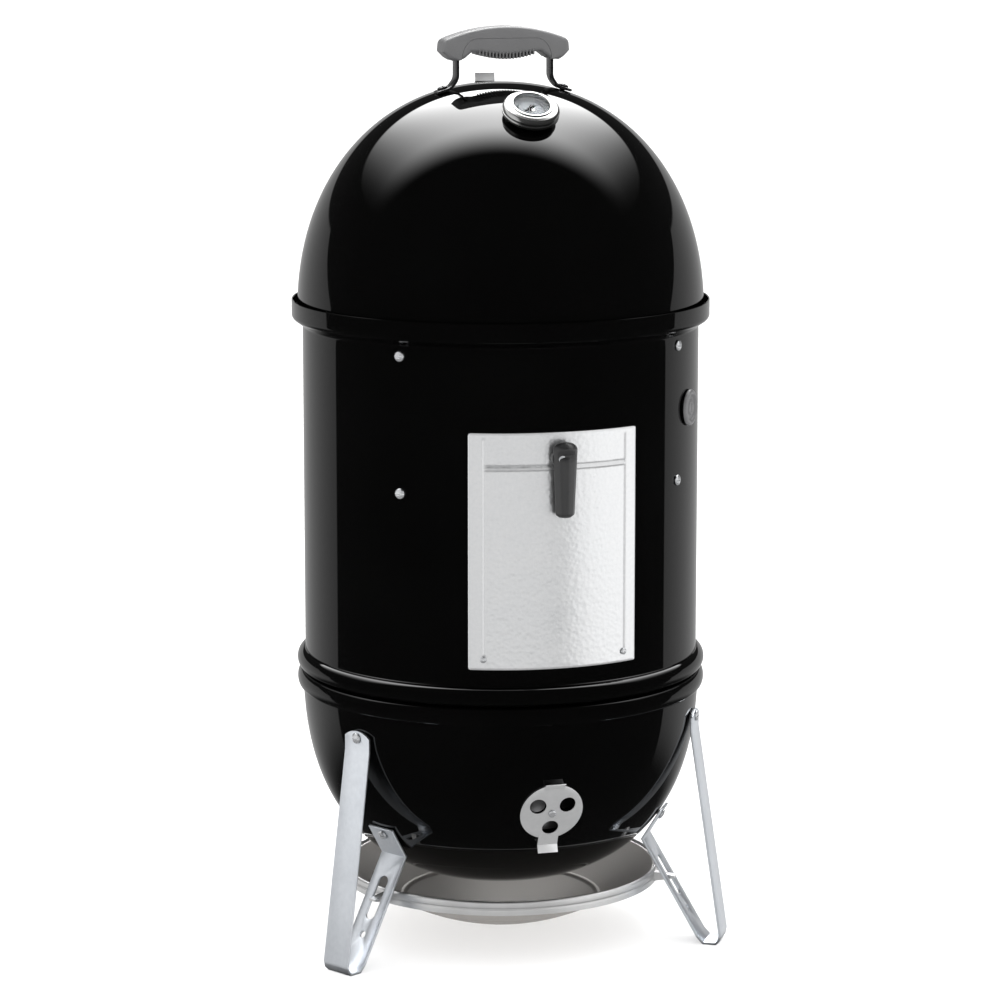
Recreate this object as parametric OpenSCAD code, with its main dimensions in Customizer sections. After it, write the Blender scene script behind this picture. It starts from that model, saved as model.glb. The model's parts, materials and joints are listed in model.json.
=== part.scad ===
// Vertical water smoker: charcoal bowl on three bent strap legs, middle section with a fuel door,
// two cooking grates over a water pan, and a domed lid with vent, thermometer and handle.
// Origin: centre of the smoker on the ground. +Z is up and the fuel door faces -Y.
// An azimuth is counted from the door (-Y) towards +X. Everything is in millimetres.

/* [Overall] */
// Outer radius of the middle section
body_r = 224; // [185:1:270]
// Height of the bowl's rim above the ground
seat_z = 312; // [290:1:380]
// Height of the middle section above the bowl's rim
body_h = 424; // [350:1:520]
// Thickness of the enamelled steel sheet
sheet_t = 1.6; // [1.2:0.1:2.4]

/* [Lid] */
// Height of the dome above its skirt
dome_h = 259.5; // [210:0.5:320]
// Roundness of the dome (2 is an ellipse, more is squarer)
dome_e = 2.144; // [2:0.01:2.5]
// Gap between the lid's skirt and the inside of the rim
lid_gap = 4.75; // [2:0.25:8]

/* [Rim] */
// How far the rim stands out from the middle section
rim_out = 12.3; // [8:0.1:18]
// Height of the rim's upright band
rim_h = 20; // [12:1:30]
// Height of the sloping shoulder that carries the lid
shoulder_h = 8.5; // [5:0.5:14]

/* [Bowl] */
// Depth of the bowl below its widest height
bowl_h = 258.8; // [215:0.1:275]
// Roundness of the bowl (2 is an ellipse, more is squarer)
bowl_e = 2.527; // [2.2:0.01:2.8]
// How much larger the bowl is than the middle section
bowl_out = 2.9; // [2.5:0.1:6]
// Half height of the rolled beads where bowl and middle section meet
bead_half = 10.5; // [6:0.5:14]
// How far the bowl's bead stands out
bead_out = 6; // [4:0.5:10]

/* [Legs] */
// Width of a leg strap
leg_w = 38; // [28:1:48]
// Thickness of a leg strap
leg_t = 3; // [2:0.5:4]
// How far the foot stands out beyond the bowl
foot_out = 35.6; // [25:0.1:60]
// Length of the flat foot
foot_flat = 14; // [10:1:30]
// Height of the upper leg bolts below the bowl's rim
leg_bolt_drop = 48.4; // [40:0.2:70]
// Height of the lower leg bolts below the bowl's rim
lug_bolt_drop = 164.2; // [150:0.2:190]
// How much more upright the lower lug stands than the bowl's side there, in degrees
lug_lean = 2.6; // [0:0.1:6]
// Width of the slot in a leg's inner arm
leg_slot_w = 14; // [10:1:18]

/* [Heat shield] */
// Outer radius of the heat shield
shield_r = 182.7; // [150:0.1:190]
// Height of the shield's rim band above the ground
shield_z = 64; // [55:1:90]
// Height of the shield's rim band
shield_band = 16; // [10:1:24]
// Depth that the dish hangs below the band
shield_drop = 52.4; // [40:0.4:56]

/* [Dampers] */
// Radius of a damper disc
damper_r = 35.8; // [30:0.1:40]
// Radius of each vent hole
vent_r = 9.2; // [6:0.1:10]
// Distance of the vent holes from the rivet
vent_pitch = 19.5; // [18:0.1:22]
// Thickness of a damper
damper_t = 1.2; // [1:0.1:2]
// Height of the bowl vents below the bowl's rim
bowl_vent_drop = 124; // [110:1:135]
// Distance of the lid vent from the lid's centre
lid_vent_r = 103; // [90:1:120]

/* [Door] */
// Half width of the door, in degrees round the body
door_half = 24.8; // [20:0.1:28]
// Height of the door's lower edge above the bowl's rim
door_rise = 42.7; // [35:0.1:60]
// Height of the door
door_h = 261; // [220:1:290]
// Thickness of the aluminium door
door_t = 2; // [1.5:0.5:3]
// How far the door laps over the opening at its sides, in degrees
door_lap = 1.4; // [1.1:0.1:1.5]
// How far the door laps over the opening at its top
door_edge = 9.5; // [6:0.5:12]
// How far the door laps over the opening's lower lip
door_lip = 4; // [3:0.5:5]
// Height of the knob's shaft above the door's lower edge
knob_rise = 234.3; // [200:0.1:245]
// Length of the knob's lever below its shaft
lever_len = 49; // [35:1:60]

/* [Grates] */
// Radius of the upper cooking grate
upper_grate_r = 211; // [170:1:212]
// Radius of the lower cooking grate
lower_grate_r = 203; // [165:1:205]
// Radius of the water pan's rim
pan_r = 194; // [160:1:196]
// Depth of the water pan
pan_h = 148; // [100:1:155]
// Radius of the charcoal grate
coal_grate_r = 178; // [140:1:180]
// Radius of the charcoal ring
coal_ring_r = 172; // [130:1:174]
// Height of the charcoal ring
coal_ring_h = 172; // [120:1:180]

/* [Thermometer] */
// Radius of the thermometer's case
gauge_r = 31.5; // [26:0.5:36]
// Height of the thermometer's case
gauge_h = 20; // [16:1:26]
// Radius of the thermometer's window
window_r = 21.5; // [18:0.5:24]
// Distance of the thermometer from the lid's centre
gauge_pos = 117; // [100:1:130]

/* [Handle] */
// Half length of the grip
grip_half = 72.5; // [68:0.5:90]
// Depth of the grip from front to back
grip_d = 33; // [26:1:40]
// Distance between the upright legs of the handle strap
strap_gap = 109; // [100:1:120]
// Depth of the handle strap
handle_strap_w = 19; // [14:1:22]
// How far the handle sits in front of the lid's centre
handle_fwd = 10; // [0:1:20]

/* [Fits] */
// Clearance between parts that lift apart
seat_gap = 0.4; // [0.3:0.05:0.8]
// Clearance round bolts in their holes
bolt_gap = 0.25; // [0.2:0.05:0.5]
// Running clearance round rivets and shafts that turn
run_gap = 0.08; // [0.05:0.01:0.1]

/* [Hidden] */
$fn = 64;

// ---- Colours ----
enamel = [0.05, 0.05, 0.055];
leg_steel = [0.72, 0.75, 0.79];
aluminium = [0.80, 0.81, 0.82];
zinc = [0.70, 0.71, 0.72];
wire_steel = [0.62, 0.62, 0.63];
nylon = [0.16, 0.16, 0.17];
grip_grey = [0.40, 0.40, 0.41];
rubber = [0.25, 0.25, 0.26];

// ---- Derived sizes ----
body_in = body_r - sheet_t;
body_mid = body_r - sheet_t / 2;
rim_r = body_r + rim_out;
rim_z = seat_z + body_h;
band_z = rim_z - rim_h;
shoulder_z = band_z - shoulder_h;
rib_z = seat_z + seat_gap + sheet_t / 2 + bead_half;
rib_out = 9;
spigot = 12;
lid_r = rim_r - sheet_t - lid_gap;
lid_edge_z = shoulder_z + shoulder_h * (lid_r - body_r) / rim_out + 1.6 * sheet_t + seat_gap;
dome_z = lid_edge_z + 4.5;
apex_z = dome_z + dome_h;
bowl_r = body_r + bowl_out;
bowl_z = seat_z + 15;
leg_azimuths = [-60, 60, 180];
damper_azimuths = [0, 120, -120];
strap_azimuths = [45, 135, -135, -45];
bolt_r = 3;
bolt_head_r = 6;
bolt_head_h = 3.2;
nut_r = 5.5;
nut_h = 5;
gap = 0.3;

// ---- Profiles ----
// Radius and height of a rounded shell, and the slope of its surface from upright
function shell_r(a, b, e, h) = a * pow(1 - pow(h / b, e), 1 / e);
function shell_h(a, b, e, r) = b * pow(1 - pow(r / a, e), 1 / e);
function shell_slope(a, b, e, r, h) = atan2(pow(h / b, e - 1) / b, pow(r / a, e - 1) / a);
function shell_points(a, b, e, n) =
  [for (i = [0 : n]) let (u = 90 * i / n) [a * pow(cos(u), 2 / e), b * pow(sin(u), 2 / e)]];
function flip_z(points, z) = [for (p = points) [p[0], z - p[1]]];
function lift_z(points, z) = [for (p = points) [p[0], z + p[1]]];
function reversed(points) = [for (i = [len(points) - 1 : -1 : 0]) points[i]];
function arc(cx, cz, rx, rz, from, to, n) =
  [for (i = [0 : n]) let (u = from + (to - from) * i / n) [cx + rx * cos(u), cz + rz * sin(u)]];

// Outline of a bent strip of thickness t that follows a line of points
function unit(v) = v / norm(v);
function normal(p, q) = let (d = unit(q - p)) [-d[1], d[0]];
function side(points, i, off) = let (
  n = len(points),
  a = i == 0 ? normal(points[0], points[1]) : normal(points[i - 1], points[i]),
  b = i == n - 1 ? normal(points[n - 2], points[n - 1]) : normal(points[i], points[i + 1]))
  points[i] + off * (a + b) / (1 + a * b);
function strip(points, t) = concat(
  [for (i = [0 : len(points) - 1]) side(points, i, t / 2)],
  [for (i = [len(points) - 1 : -1 : 0]) side(points, i, -t / 2)]);

// ---- Places ----
// A radial plane at azimuth a: local X points outwards
module radial(a) rotate([0, 0, a - 90]) children();
// An upright slab whose outline lies in the radial plane at azimuth a
module slab(a, w) radial(a) rotate([90, 0, 0]) translate([0, 0, -w / 2]) linear_extrude(w) children();
// The bowl's outer surface at height z: local Z points out, local X points down the slope
function bowl_radius(z) = shell_r(bowl_r, bowl_h, bowl_e, bowl_z - z);
function bowl_slope(z) = shell_slope(bowl_r, bowl_h, bowl_e, bowl_radius(z), bowl_z - z);
module on_bowl(a, z) radial(a) translate([bowl_radius(z), 0, z]) rotate([0, 90 + bowl_slope(z), 0])
  children();
// The dome's outer surface at distance r from its centre
function dome_height(r) = dome_z + shell_h(lid_r, dome_h, dome_e, r);
function dome_slope(r) = shell_slope(lid_r, dome_h, dome_e, r, dome_height(r) - dome_z);
module on_dome(a, r) radial(a) translate([r, 0, dome_height(r)]) rotate([0, 90 - dome_slope(r), 0])
  children();
// A hole or shaft that runs out along local Z from z0 to z1
module rod(r, z0, z1) translate([0, 0, z0]) cylinder(r = r, h = z1 - z0);
// A rod that points outwards at azimuth a and height z, between two distances from the axis
module spoke(a, z, r, r0, r1) radial(a) translate([0, 0, z]) rotate([0, 90, 0]) rod(r, r0, r1);
// A curved plate between two radii, two heights and two azimuths
module arc_plate(r0, r1, z0, z1, a0, a1) rotate([0, 0, a0 - 90])
  rotate_extrude(angle = a1 - a0, $fn = 180) translate([r0, z0]) square([r1 - r0, z1 - z0]);

// ---- Bowl ----
vent_z = seat_z - bowl_vent_drop;
leg_bolt_z = seat_z - leg_bolt_drop;
lug_bolt_z = seat_z - lug_bolt_drop;
lug_gap = 1;
lug_tilt = bowl_slope(lug_bolt_z) - lug_lean;
lug_r = bowl_radius(lug_bolt_z) + (lug_gap + leg_t / 2) * cos(bowl_slope(lug_bolt_z));
lug_z = lug_bolt_z - (lug_gap + leg_t / 2) * sin(bowl_slope(lug_bolt_z));
bead_z = seat_z - bead_half;

// The lower bolt's frame: local Z runs out through the lug, square to it
module at_lug(a) radial(a) translate([lug_r, 0, lug_z]) rotate([0, 90 + lug_tilt, 0]) children();

module bowl_section() {
  wall_top = bead_z + bead_half - sheet_t;
  outer = [for (p = flip_z(shell_points(bowl_r, bowl_h, bowl_e, 30), bowl_z)) if (p[1] < bead_z) p];
  inner = [for (p = flip_z(shell_points(bowl_r - sheet_t, bowl_h - sheet_t, bowl_e, 30), bowl_z))
    if (p[1] < bead_z) p];
  curl_in = arc(bowl_r, bead_z, bead_out - sheet_t, bead_half - sheet_t, 85, -75, 12);
  curl_out = arc(bowl_r, bead_z, bead_out, bead_half, -75, 90, 12);
  polygon(concat(reversed(outer), [[bowl_r, bead_z], [bowl_r, wall_top]], curl_in, curl_out,
    [[bowl_r - sheet_t, seat_z], [bowl_r - sheet_t, bead_z]], inner));
}

module bowl() color(enamel) difference() {
  rotate_extrude($fn = 180) bowl_section();
  for (i = [0 : 2]) on_bowl(damper_azimuths[i], vent_z) {
    vents(i == 2 ? 180 : 0);
    rod(rivet_r + bolt_gap, -10, 10);
  }
  for (a = leg_azimuths) {
    spoke(a, leg_bolt_z, bolt_r + bolt_gap, bowl_r - 30, bowl_r + 10);
    at_lug(a) rod(bolt_r + 2 * bolt_gap, -12, 10);
  }
}

// ---- Legs ----
leg_head = 8;
leg_neck = 15;
leg_r = bowl_radius(leg_bolt_z + leg_head) + lug_gap + leg_t / 2;
lug_head = 9;
lug_len = 31.5;
foot_r = bowl_r + foot_out;
shield_mid = shield_z + shield_band / 2;
leg_top_z = leg_bolt_z + leg_head;
lug_dir = [sin(lug_tilt), cos(lug_tilt)];
lug_at = [lug_r, lug_z];
lug_foot = lug_at - lug_len * lug_dir;
heel = [foot_r - foot_flat - 12, 9];
arm_dir = unit(lug_foot - heel);
function arm_at(z) = heel + (z - heel[1]) / arm_dir[1] * arm_dir;

module leg_hole(z, w, len) {
  p = arm_at(z);
  tilt = atan2(-arm_dir[0], arm_dir[1]);
  translate([p[0], 0, p[1]]) rotate([0, -tilt, 0]) rotate([0, 90, 0]) {
    for (s = [-1, 1]) translate([s * (len - w) / 2, 0, 0]) cylinder(r = w / 2, h = 30, center = true);
    if (len > w) cube([len - w, w, 30], center = true);
  }
}

module leg(a) color(leg_steel) difference() {
  intersection() {
    slab(a, leg_w) polygon(strip([[leg_r, leg_top_z], [leg_r, leg_bolt_z - leg_neck],
      [foot_r, 12], [foot_r - 1.5, 5], [foot_r - 5, leg_t / 2], [foot_r - 5 - foot_flat, leg_t / 2],
      heel, lug_foot, lug_at + lug_head * lug_dir], leg_t));
    radial(a) union() {
      translate([0, -leg_w, 0]) cube([leg_r - 10, 2 * leg_w, leg_top_z]);
      translate([leg_r - 10, -leg_w, 0]) cube([100, 2 * leg_w, leg_bolt_z - 6]);
      translate([0, 0, leg_top_z - 0.8 * leg_w]) rotate([0, 90, 0]) cylinder(r = 0.8 * leg_w, h = 400);
    }
  }
  spoke(a, leg_bolt_z, bolt_r + bolt_gap, bowl_r - 20, bowl_r + 30);
  at_lug(a) rod(bolt_r + bolt_gap, -8, 12);
  radial(a) leg_hole(shield_mid + 2, leg_slot_w, 52);
  radial(a) leg_hole(36, 8, 8);
}

// ---- Bolts and nuts ----
module bolt_head(r, h) rotate_extrude()
  polygon(concat([[0, 0], [r, 0]], arc(0, h * 0.3, r, h * 0.7, 0, 90, 6)));

// A slotted round-head bolt whose head sits at local Z = 0 and whose shank runs down
module bolt(r, head, len) difference() {
  union() {
    bolt_head(head, bolt_head_h);
    rod(r, -len, 0.5);
  }
  translate([-0.7, -head - 1, bolt_head_h - 1.2]) cube([1.4, 2 * head + 2, 3]);
}

// A hexagon nut from local Z = 0 down, bored to clear its bolt
module nut(r, bore) difference() {
  translate([0, 0, -nut_h]) cylinder(r = r, h = nut_h, $fn = 6);
  rod(bore + bolt_gap, -nut_h - 1, 1);
}

leg_bolt_len = leg_t + lug_gap + sheet_t + nut_h + 4;
lug_bolt_len = leg_t + 2 * lug_gap + 2 * sheet_t + nut_h + 5;

module leg_bolts() color(zinc) for (a = leg_azimuths) {
  radial(a) translate([leg_r + leg_t / 2 + gap, 0, leg_bolt_z]) rotate([0, 90, 0])
    bolt(bolt_r, bolt_head_r, leg_bolt_len);
  at_lug(a) translate([0, 0, leg_t / 2 + gap]) bolt(bolt_r, bolt_head_r, lug_bolt_len);
}

bracket_t = 2;
bracket_depth = leg_t / 2 + lug_gap + sheet_t + 1.3;

module leg_nuts() color(zinc) for (a = leg_azimuths) {
  radial(a) translate([bowl_radius(leg_bolt_z - nut_r) - sheet_t - 0.6, 0, leg_bolt_z])
    rotate([0, 90, 0]) nut(nut_r, bolt_r);
  at_lug(a) translate([0, 0, -bracket_depth - bracket_t - gap]) nut(nut_r, bolt_r);
}

// ---- Grate brackets inside the bowl, held by the lower leg bolts ----
bracket_w = 25;
bracket_at = lug_at - (bracket_depth + bracket_t / 2) * [cos(lug_tilt), -sin(lug_tilt)];
bracket_top = bracket_at + 12 * lug_dir;
coal_z = bracket_top[1] + bracket_t / 2;

module grate_brackets() color(zinc) for (a = leg_azimuths) difference() {
  slab(a, bracket_w) polygon(strip([[min(bracket_top[0] - 25, coal_grate_r - 14), bracket_top[1]],
    bracket_top, bracket_at - 10 * lug_dir], bracket_t));
  at_lug(a) rod(bolt_r + 2 * bolt_gap, -30, 0);
}

// ---- Heat shield ----
shield_t = 1.2;
module heat_shield() color(aluminium) {
  dish_edge = shield_r - 6;
  dish_z = shield_z + shield_band - 4;
  dish_low = shield_z - shield_drop;
  rotate_extrude($fn = 180) {
    polygon(strip(concat([[shield_r - shield_t / 2, shield_z],
      [shield_r - shield_t / 2, shield_z + shield_band - 2],
      [shield_r - 3, shield_z + shield_band], [dish_edge + 1, shield_z + shield_band - 1.5]],
      [for (i = [10 : -1 : 1]) let (u = i / 10)
        [dish_edge * u, dish_low + (dish_z - dish_low) * u * u]], [[8, dish_low], [0, dish_low]]),
      shield_t));
  }
  tab = arm_at(shield_mid)[0] + 10;
  for (a = leg_azimuths) slab(a, leg_slot_w - 4)
    polygon([[shield_r - shield_t / 2, shield_z + 2], [tab, shield_mid - 1], [tab, shield_mid + 1.5],
      [shield_r - shield_t / 2, shield_z + shield_band - 3]]);
}

// ---- Dampers ----
rivet_r = 2.5;
damper_gap = 0.9;
tab_w = 23;
bowl_dish = 0.905 * bowl_r;
lid_dish = 1.26 * lid_r;
function dish(big, r) = big - sqrt(big * big - r * r);

module vents(turn) for (k = [0 : 2]) rotate([0, 0, turn + 120 * k]) translate([vent_pitch, 0, 0])
  rod(vent_r, -15, 15);

// A dished disc on the surface, with three holes, a finger tab and a short stop tab
module damper(big, turn) color(aluminium) rotate([0, 0, turn])
  translate([0, 0, damper_gap + damper_t / 2]) difference() {
    union() {
      rotate_extrude() polygon(strip(concat([[0, 0], [2, 0]],
        [for (i = [1 : 6]) let (r = damper_r * i / 6) [r, -dish(big, r)]]), damper_t));
      rotate([90, 0, 0]) translate([0, 0, -tab_w / 2]) linear_extrude(tab_w)
        polygon(strip([[damper_r - 6, -dish(big, damper_r - 6)], [damper_r, -dish(big, damper_r)],
          [damper_r + 9, -dish(big, damper_r) - 0.2], [damper_r + 16, 3]], damper_t));
      rotate([90, 0, 0]) translate([0, 0, -tab_w / 2]) linear_extrude(tab_w)
        polygon(strip([[4 - damper_r, -dish(big, damper_r - 4)], [1 - damper_r, -dish(big, damper_r - 1)],
          [-damper_r - 3.5, 2]], damper_t));
    }
    vents(0);
    rod(rivet_r + run_gap, -10, 10);
  }

// A rivet that holds a damper to its shell: flat head outside, set head inside
module damper_rivet() {
  top = damper_gap + damper_t + gap;
  translate([0, 0, top]) bolt_head(4.5, 2.4);
  rod(rivet_r, -sheet_t - 3, top + 0.5);
  rod(4.5, -sheet_t - 3.2, -sheet_t - 1);
}

module bowl_damper(i) on_bowl(damper_azimuths[i], vent_z) damper(bowl_dish, i == 2 ? 180 : 0);
module bowl_damper_rivets() color(zinc) for (a = damper_azimuths) on_bowl(a, vent_z) damper_rivet();

// ---- Charcoal grate and ring ----
// A round grate: outer ring, parallel rods and two cross bars, resting at height z
module round_grate(r, z, ring_w, rod_r, pitch, bar_x) {
  count = floor((r - ring_w) / pitch - 0.2);
  rotate_extrude($fn = 180) translate([r - ring_w, z]) square([ring_w, 2 * rod_r + 2]);
  for (k = [-count : count]) let (half = sqrt(pow(r - ring_w / 2, 2) - pow(k * pitch, 2)))
    translate([k * pitch, 0, z + rod_r + 1]) rotate([90, 0, 0])
      cylinder(r = rod_r, h = 2 * half, center = true, $fn = 24);
  for (s = [-1, 1]) let (half = sqrt(pow(r - ring_w / 2, 2) - pow(bar_x, 2)))
    translate([-half, s * bar_x - 2, z]) cube([2 * half, 4, rod_r + 1]);
}

module charcoal_grate() color(wire_steel) round_grate(coal_grate_r, coal_z + seat_gap, 7, 3.5, 26, 70);

ring_z = coal_z + 2 * seat_gap + 9;
module charcoal_ring() color(wire_steel) difference() {
  rod(coal_ring_r, ring_z, ring_z + coal_ring_h, $fn = 180);
  translate([0, 0, ring_z - 1]) cylinder(r = coal_ring_r - sheet_t, h = coal_ring_h + 2, $fn = 180);
  for (row = [0 : 2], k = [0 : 19])
    spoke(18 * k + 9 * row, ring_z + coal_ring_h * (row + 0.8) / 3.6, 9, coal_ring_r - 5, coal_ring_r + 5);
}

// ---- Middle section ----
strap_bolt_hi = rim_z - 40.5;
strap_bolt_lo = rim_z - 191.4;
grommet_az = 53;
grommet_z = rim_z - 114;
grommet_r = 20.5;
grommet_hole = 14;
door_z = seat_z + door_rise;
open_half = door_half - door_lap;
open_lo = door_z + door_lip;
open_hi = door_z + door_h - door_edge;

module body_section() {
  rib = arc(body_mid, rib_z, rib_out, bead_half, -90, 90, 14);
  polygon(strip(concat([[body_mid, seat_z - spigot]], rib, [[body_mid, shoulder_z],
    [rim_r - sheet_t / 2, band_z], [rim_r - sheet_t / 2, rim_z]]), sheet_t));
}

module body_shell() color(enamel) difference() {
  rotate_extrude($fn = 180) body_section();
  arc_plate(body_r - 12, body_r + 12, open_lo, open_hi, -open_half, open_half);
  for (a = strap_azimuths, z = [strap_bolt_lo, strap_bolt_hi])
    spoke(a, z, bolt_r + bolt_gap, body_r - 20, body_r + 10);
  spoke(grommet_az, grommet_z, grommet_hole + bolt_gap, body_r - 30, body_r + 20);
}

// ---- Grate straps inside the middle section ----
strap_w = 24;
strap_t = 2.5;
strap_out = sqrt(pow(body_in, 2) - pow(strap_w / 2, 2)) - gap;
upper_seat = rim_z - 50;
lower_seat = strap_bolt_lo + 12;
pan_seat = strap_bolt_lo - 14;

module strap(a) color(zinc) difference() {
  radial(a) union() {
    translate([strap_out - strap_t, -strap_w / 2, pan_seat - 12])
      cube([strap_t, strap_w, strap_bolt_hi + 10 - pan_seat + 12]);
    for (ledge = [[upper_seat, upper_grate_r - 6], [lower_seat, lower_grate_r - 6], [pan_seat, pan_r - 7]])
      translate([ledge[1], -strap_w / 2, ledge[0] - strap_t])
        cube([strap_out - ledge[1], strap_w, strap_t]);
  }
  for (z = [strap_bolt_lo, strap_bolt_hi]) spoke(a, z, bolt_r + bolt_gap, body_r - 40, body_r);
}

strap_bolt_len = body_r - strap_out + strap_t + nut_h + 1.5;
module strap_bolts() color(zinc) for (a = strap_azimuths, z = [strap_bolt_lo, strap_bolt_hi])
  radial(a) translate([body_r + gap, 0, z]) rotate([0, 90, 0]) bolt(bolt_r, bolt_head_r, strap_bolt_len);
module strap_nuts() color(zinc) for (a = strap_azimuths, z = [strap_bolt_lo, strap_bolt_hi])
  radial(a) translate([strap_out - strap_t - gap, 0, z]) rotate([0, 90, 0]) nut(nut_r, bolt_r);

// ---- Probe grommet: two flanges, a neck through the sheet and a slit ----
module probe_grommet() color(rubber) radial(grommet_az)
  translate([body_r, 0, grommet_z]) rotate([0, 90, 0]) difference() {
    union() {
      rod(grommet_hole, -sheet_t - 5, 2);
      translate([0, 0, 1.2]) rotate_extrude() polygon([[0, 0], [grommet_r, 0], [grommet_r, 1.5],
        [grommet_r - 3, 4], [grommet_r - 7, 4.6], [0, 4.6]]);
      rod(grommet_hole + 3, -sheet_t - 5, -sheet_t - 1.8);
    }
    translate([-9, -2, -12]) cube([18, 4, 30]);
  }

// ---- Water pan ----
pan_t = 1.2;
pan_floor_r = 118;
module water_pan() color(enamel) rotate_extrude($fn = 180)
  polygon(strip([[0, pan_seat + seat_gap + pan_t / 2 - pan_h],
    [pan_floor_r * 0.9, pan_seat + seat_gap - pan_h + pan_t / 2],
    [pan_floor_r, pan_seat + seat_gap - pan_h + 8],
    [pan_r - 16, pan_seat + seat_gap - 22], [pan_r - 12, pan_seat + seat_gap + pan_t / 2],
    [pan_r, pan_seat + seat_gap + pan_t / 2]], pan_t));

// ---- Cooking grates, each with two wire handles ----
module cooking_grate(r, z) color(wire_steel) union() {
  round_grate(r, z + seat_gap, 6, 2.5, 21, 95);
  for (s = [-1, 1]) translate([s * (r - 21), 0, z + seat_gap + 3]) {
    for (y = [-30, 30]) translate([0, y, 0]) cylinder(r = 2.5, h = 22, $fn = 24);
    translate([0, 0, 22]) cube([5, 65, 5], center = true);
    for (y = [-30, 30]) translate([s * 10, y, -0.5]) cube([24, 5, 3.5], center = true);
  }
}

// ---- Door ----
door_in = body_r + 1;
door_out = door_in + door_t;
hook_az = door_half - 4.2;
hook_w = 18;
hook_t = 1.6;
rivet_z = door_z + 11.7;
knob_z = door_z + knob_rise;
shaft_r = 4;

module door_panel() color(aluminium) difference() {
  union() {
    arc_plate(door_in, door_out, door_z, door_z + door_h, -door_half, door_half);
    for (a = [4.4 - door_half, door_half - 3.9])
      arc_plate(door_out - 0.6, door_out + 1.2, rivet_z + 5.5, door_z + door_h - 8, a - 0.5, a + 0.5);
    arc_plate(door_out - 0.4, door_out + 1, knob_z - 14.5, knob_z - 11, 4.4 - door_half, door_half - 3.9);
  }
  spoke(0, knob_z, shaft_r + run_gap, body_r - 20, body_r + 20);
  for (s = [-1, 1]) spoke(s * hook_az, rivet_z, 2 + bolt_gap, body_r - 20, body_r + 20);
}

// Hooks on the back of the door that hang over the opening's lower lip
module door_hooks() color(zinc) for (s = [-1, 1]) difference() {
  hook_r = door_in - 0.4 - hook_t / 2;
  slab(s * hook_az, hook_w) polygon(strip([[hook_r, rivet_z + 6], [hook_r, open_lo + 2.6],
    [body_in - 3.5, open_lo + 2.6], [body_in - 3.5, open_lo - 10]], hook_t));
  spoke(s * hook_az, rivet_z, 2 + bolt_gap, body_r - 20, body_r + 20);
}

module door_rivets() color(zinc) for (s = [-1, 1]) radial(s * hook_az)
  translate([door_out + gap, 0, rivet_z]) rotate([0, 90, 0]) {
    bolt_head(3.6, 1.8);
    rod(2, door_in - door_out - hook_t - 3, 0.5);
    rod(3.4, door_in - door_out - hook_t - 3, door_in - door_out - hook_t - 1.3);
  }

// Lever knob: local X is +X, local Y is up, extruded towards the front
knob_base = door_out + 1.8;
knob_face = knob_base + 9;
lever_t = 11;
lever_top = 12;
lever_end = 11;
module knob_frame(from) translate([0, -from, knob_z]) rotate([90, 0, 0]) children();

module door_knob() color(nylon) knob_frame(0) difference() {
  union() {
    rod(9.5, knob_base, knob_face + 1);
    translate([0, 0, knob_face]) linear_extrude(lever_t) union() {
      circle(lever_top);
      translate([0, -lever_len]) circle(lever_end);
      polygon([[-lever_top, 0], [lever_top, 0], [lever_end, -lever_len], [-lever_end, -lever_len]]);
    }
  }
  rod(shaft_r + 0.05, knob_base - 2, knob_face + lever_t - 3);
}

tongue_z = body_in - 4.5;
module latch_shaft() color(zinc) knob_frame(0) rod(shaft_r, tongue_z - 2, knob_face + lever_t - 4);

module latch_tongue() color(zinc) knob_frame(0) difference() {
  tip = open_hi - knob_z - 0.6;
  translate([-7, -8, tongue_z]) cube([14, tip + 8, 2]);
  rod(shaft_r + 0.05, tongue_z - 1, tongue_z + 4);
}

// ---- Lid ----
handle_bolt_x = strap_gap / 2 + 15;
foot_x0 = strap_gap / 2 + 7.5;
foot_x1 = strap_gap / 2 + 23.5;
handle_t = 3;
function foot_z(x) = dome_height(norm([x, handle_fwd])) + handle_t / 2 + 0.8;
foot_tilt = atan2(foot_z(foot_x0) - foot_z(foot_x1), foot_x1 - foot_x0);

// The handle bolt's frame: local Z is square to the strap's foot
module at_foot(s) translate([s * handle_bolt_x, -handle_fwd,
  foot_z(foot_x0) - (handle_bolt_x - foot_x0) * tan(foot_tilt)]) rotate([0, s * foot_tilt, 0]) children();

module lid_section() {
  outer = shell_points(lid_r, dome_h, dome_e, 32);
  inner = shell_points(lid_r - sheet_t, dome_h - sheet_t, dome_e, 32);
  polygon(concat([[lid_r, lid_edge_z]], lift_z(outer, dome_z), reversed(lift_z(inner, dome_z)),
    [[lid_r - sheet_t, lid_edge_z]]));
}

module lid() color(enamel) difference() {
  rotate_extrude($fn = 180) lid_section();
  on_dome(180, lid_vent_r) {
    vents(180);
    rod(rivet_r + bolt_gap, -10, 10);
  }
  on_dome(0, gauge_pos) rod(stem_r + bolt_gap, -10, 10);
  for (s = [-1, 1]) at_foot(s) rod(bolt_r + 2 * bolt_gap, -12, 10);
}

// ---- Handle ----
grip_low = apex_z + 26.5;
grip_seam = apex_z + 50;
grip_end_z = apex_z + 48;
grip_top_z = apex_z + 63;
strap_top = grip_seam + 2;
seam_half = strap_gap / 2 - 2.4;
seam_r = 18;

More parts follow.
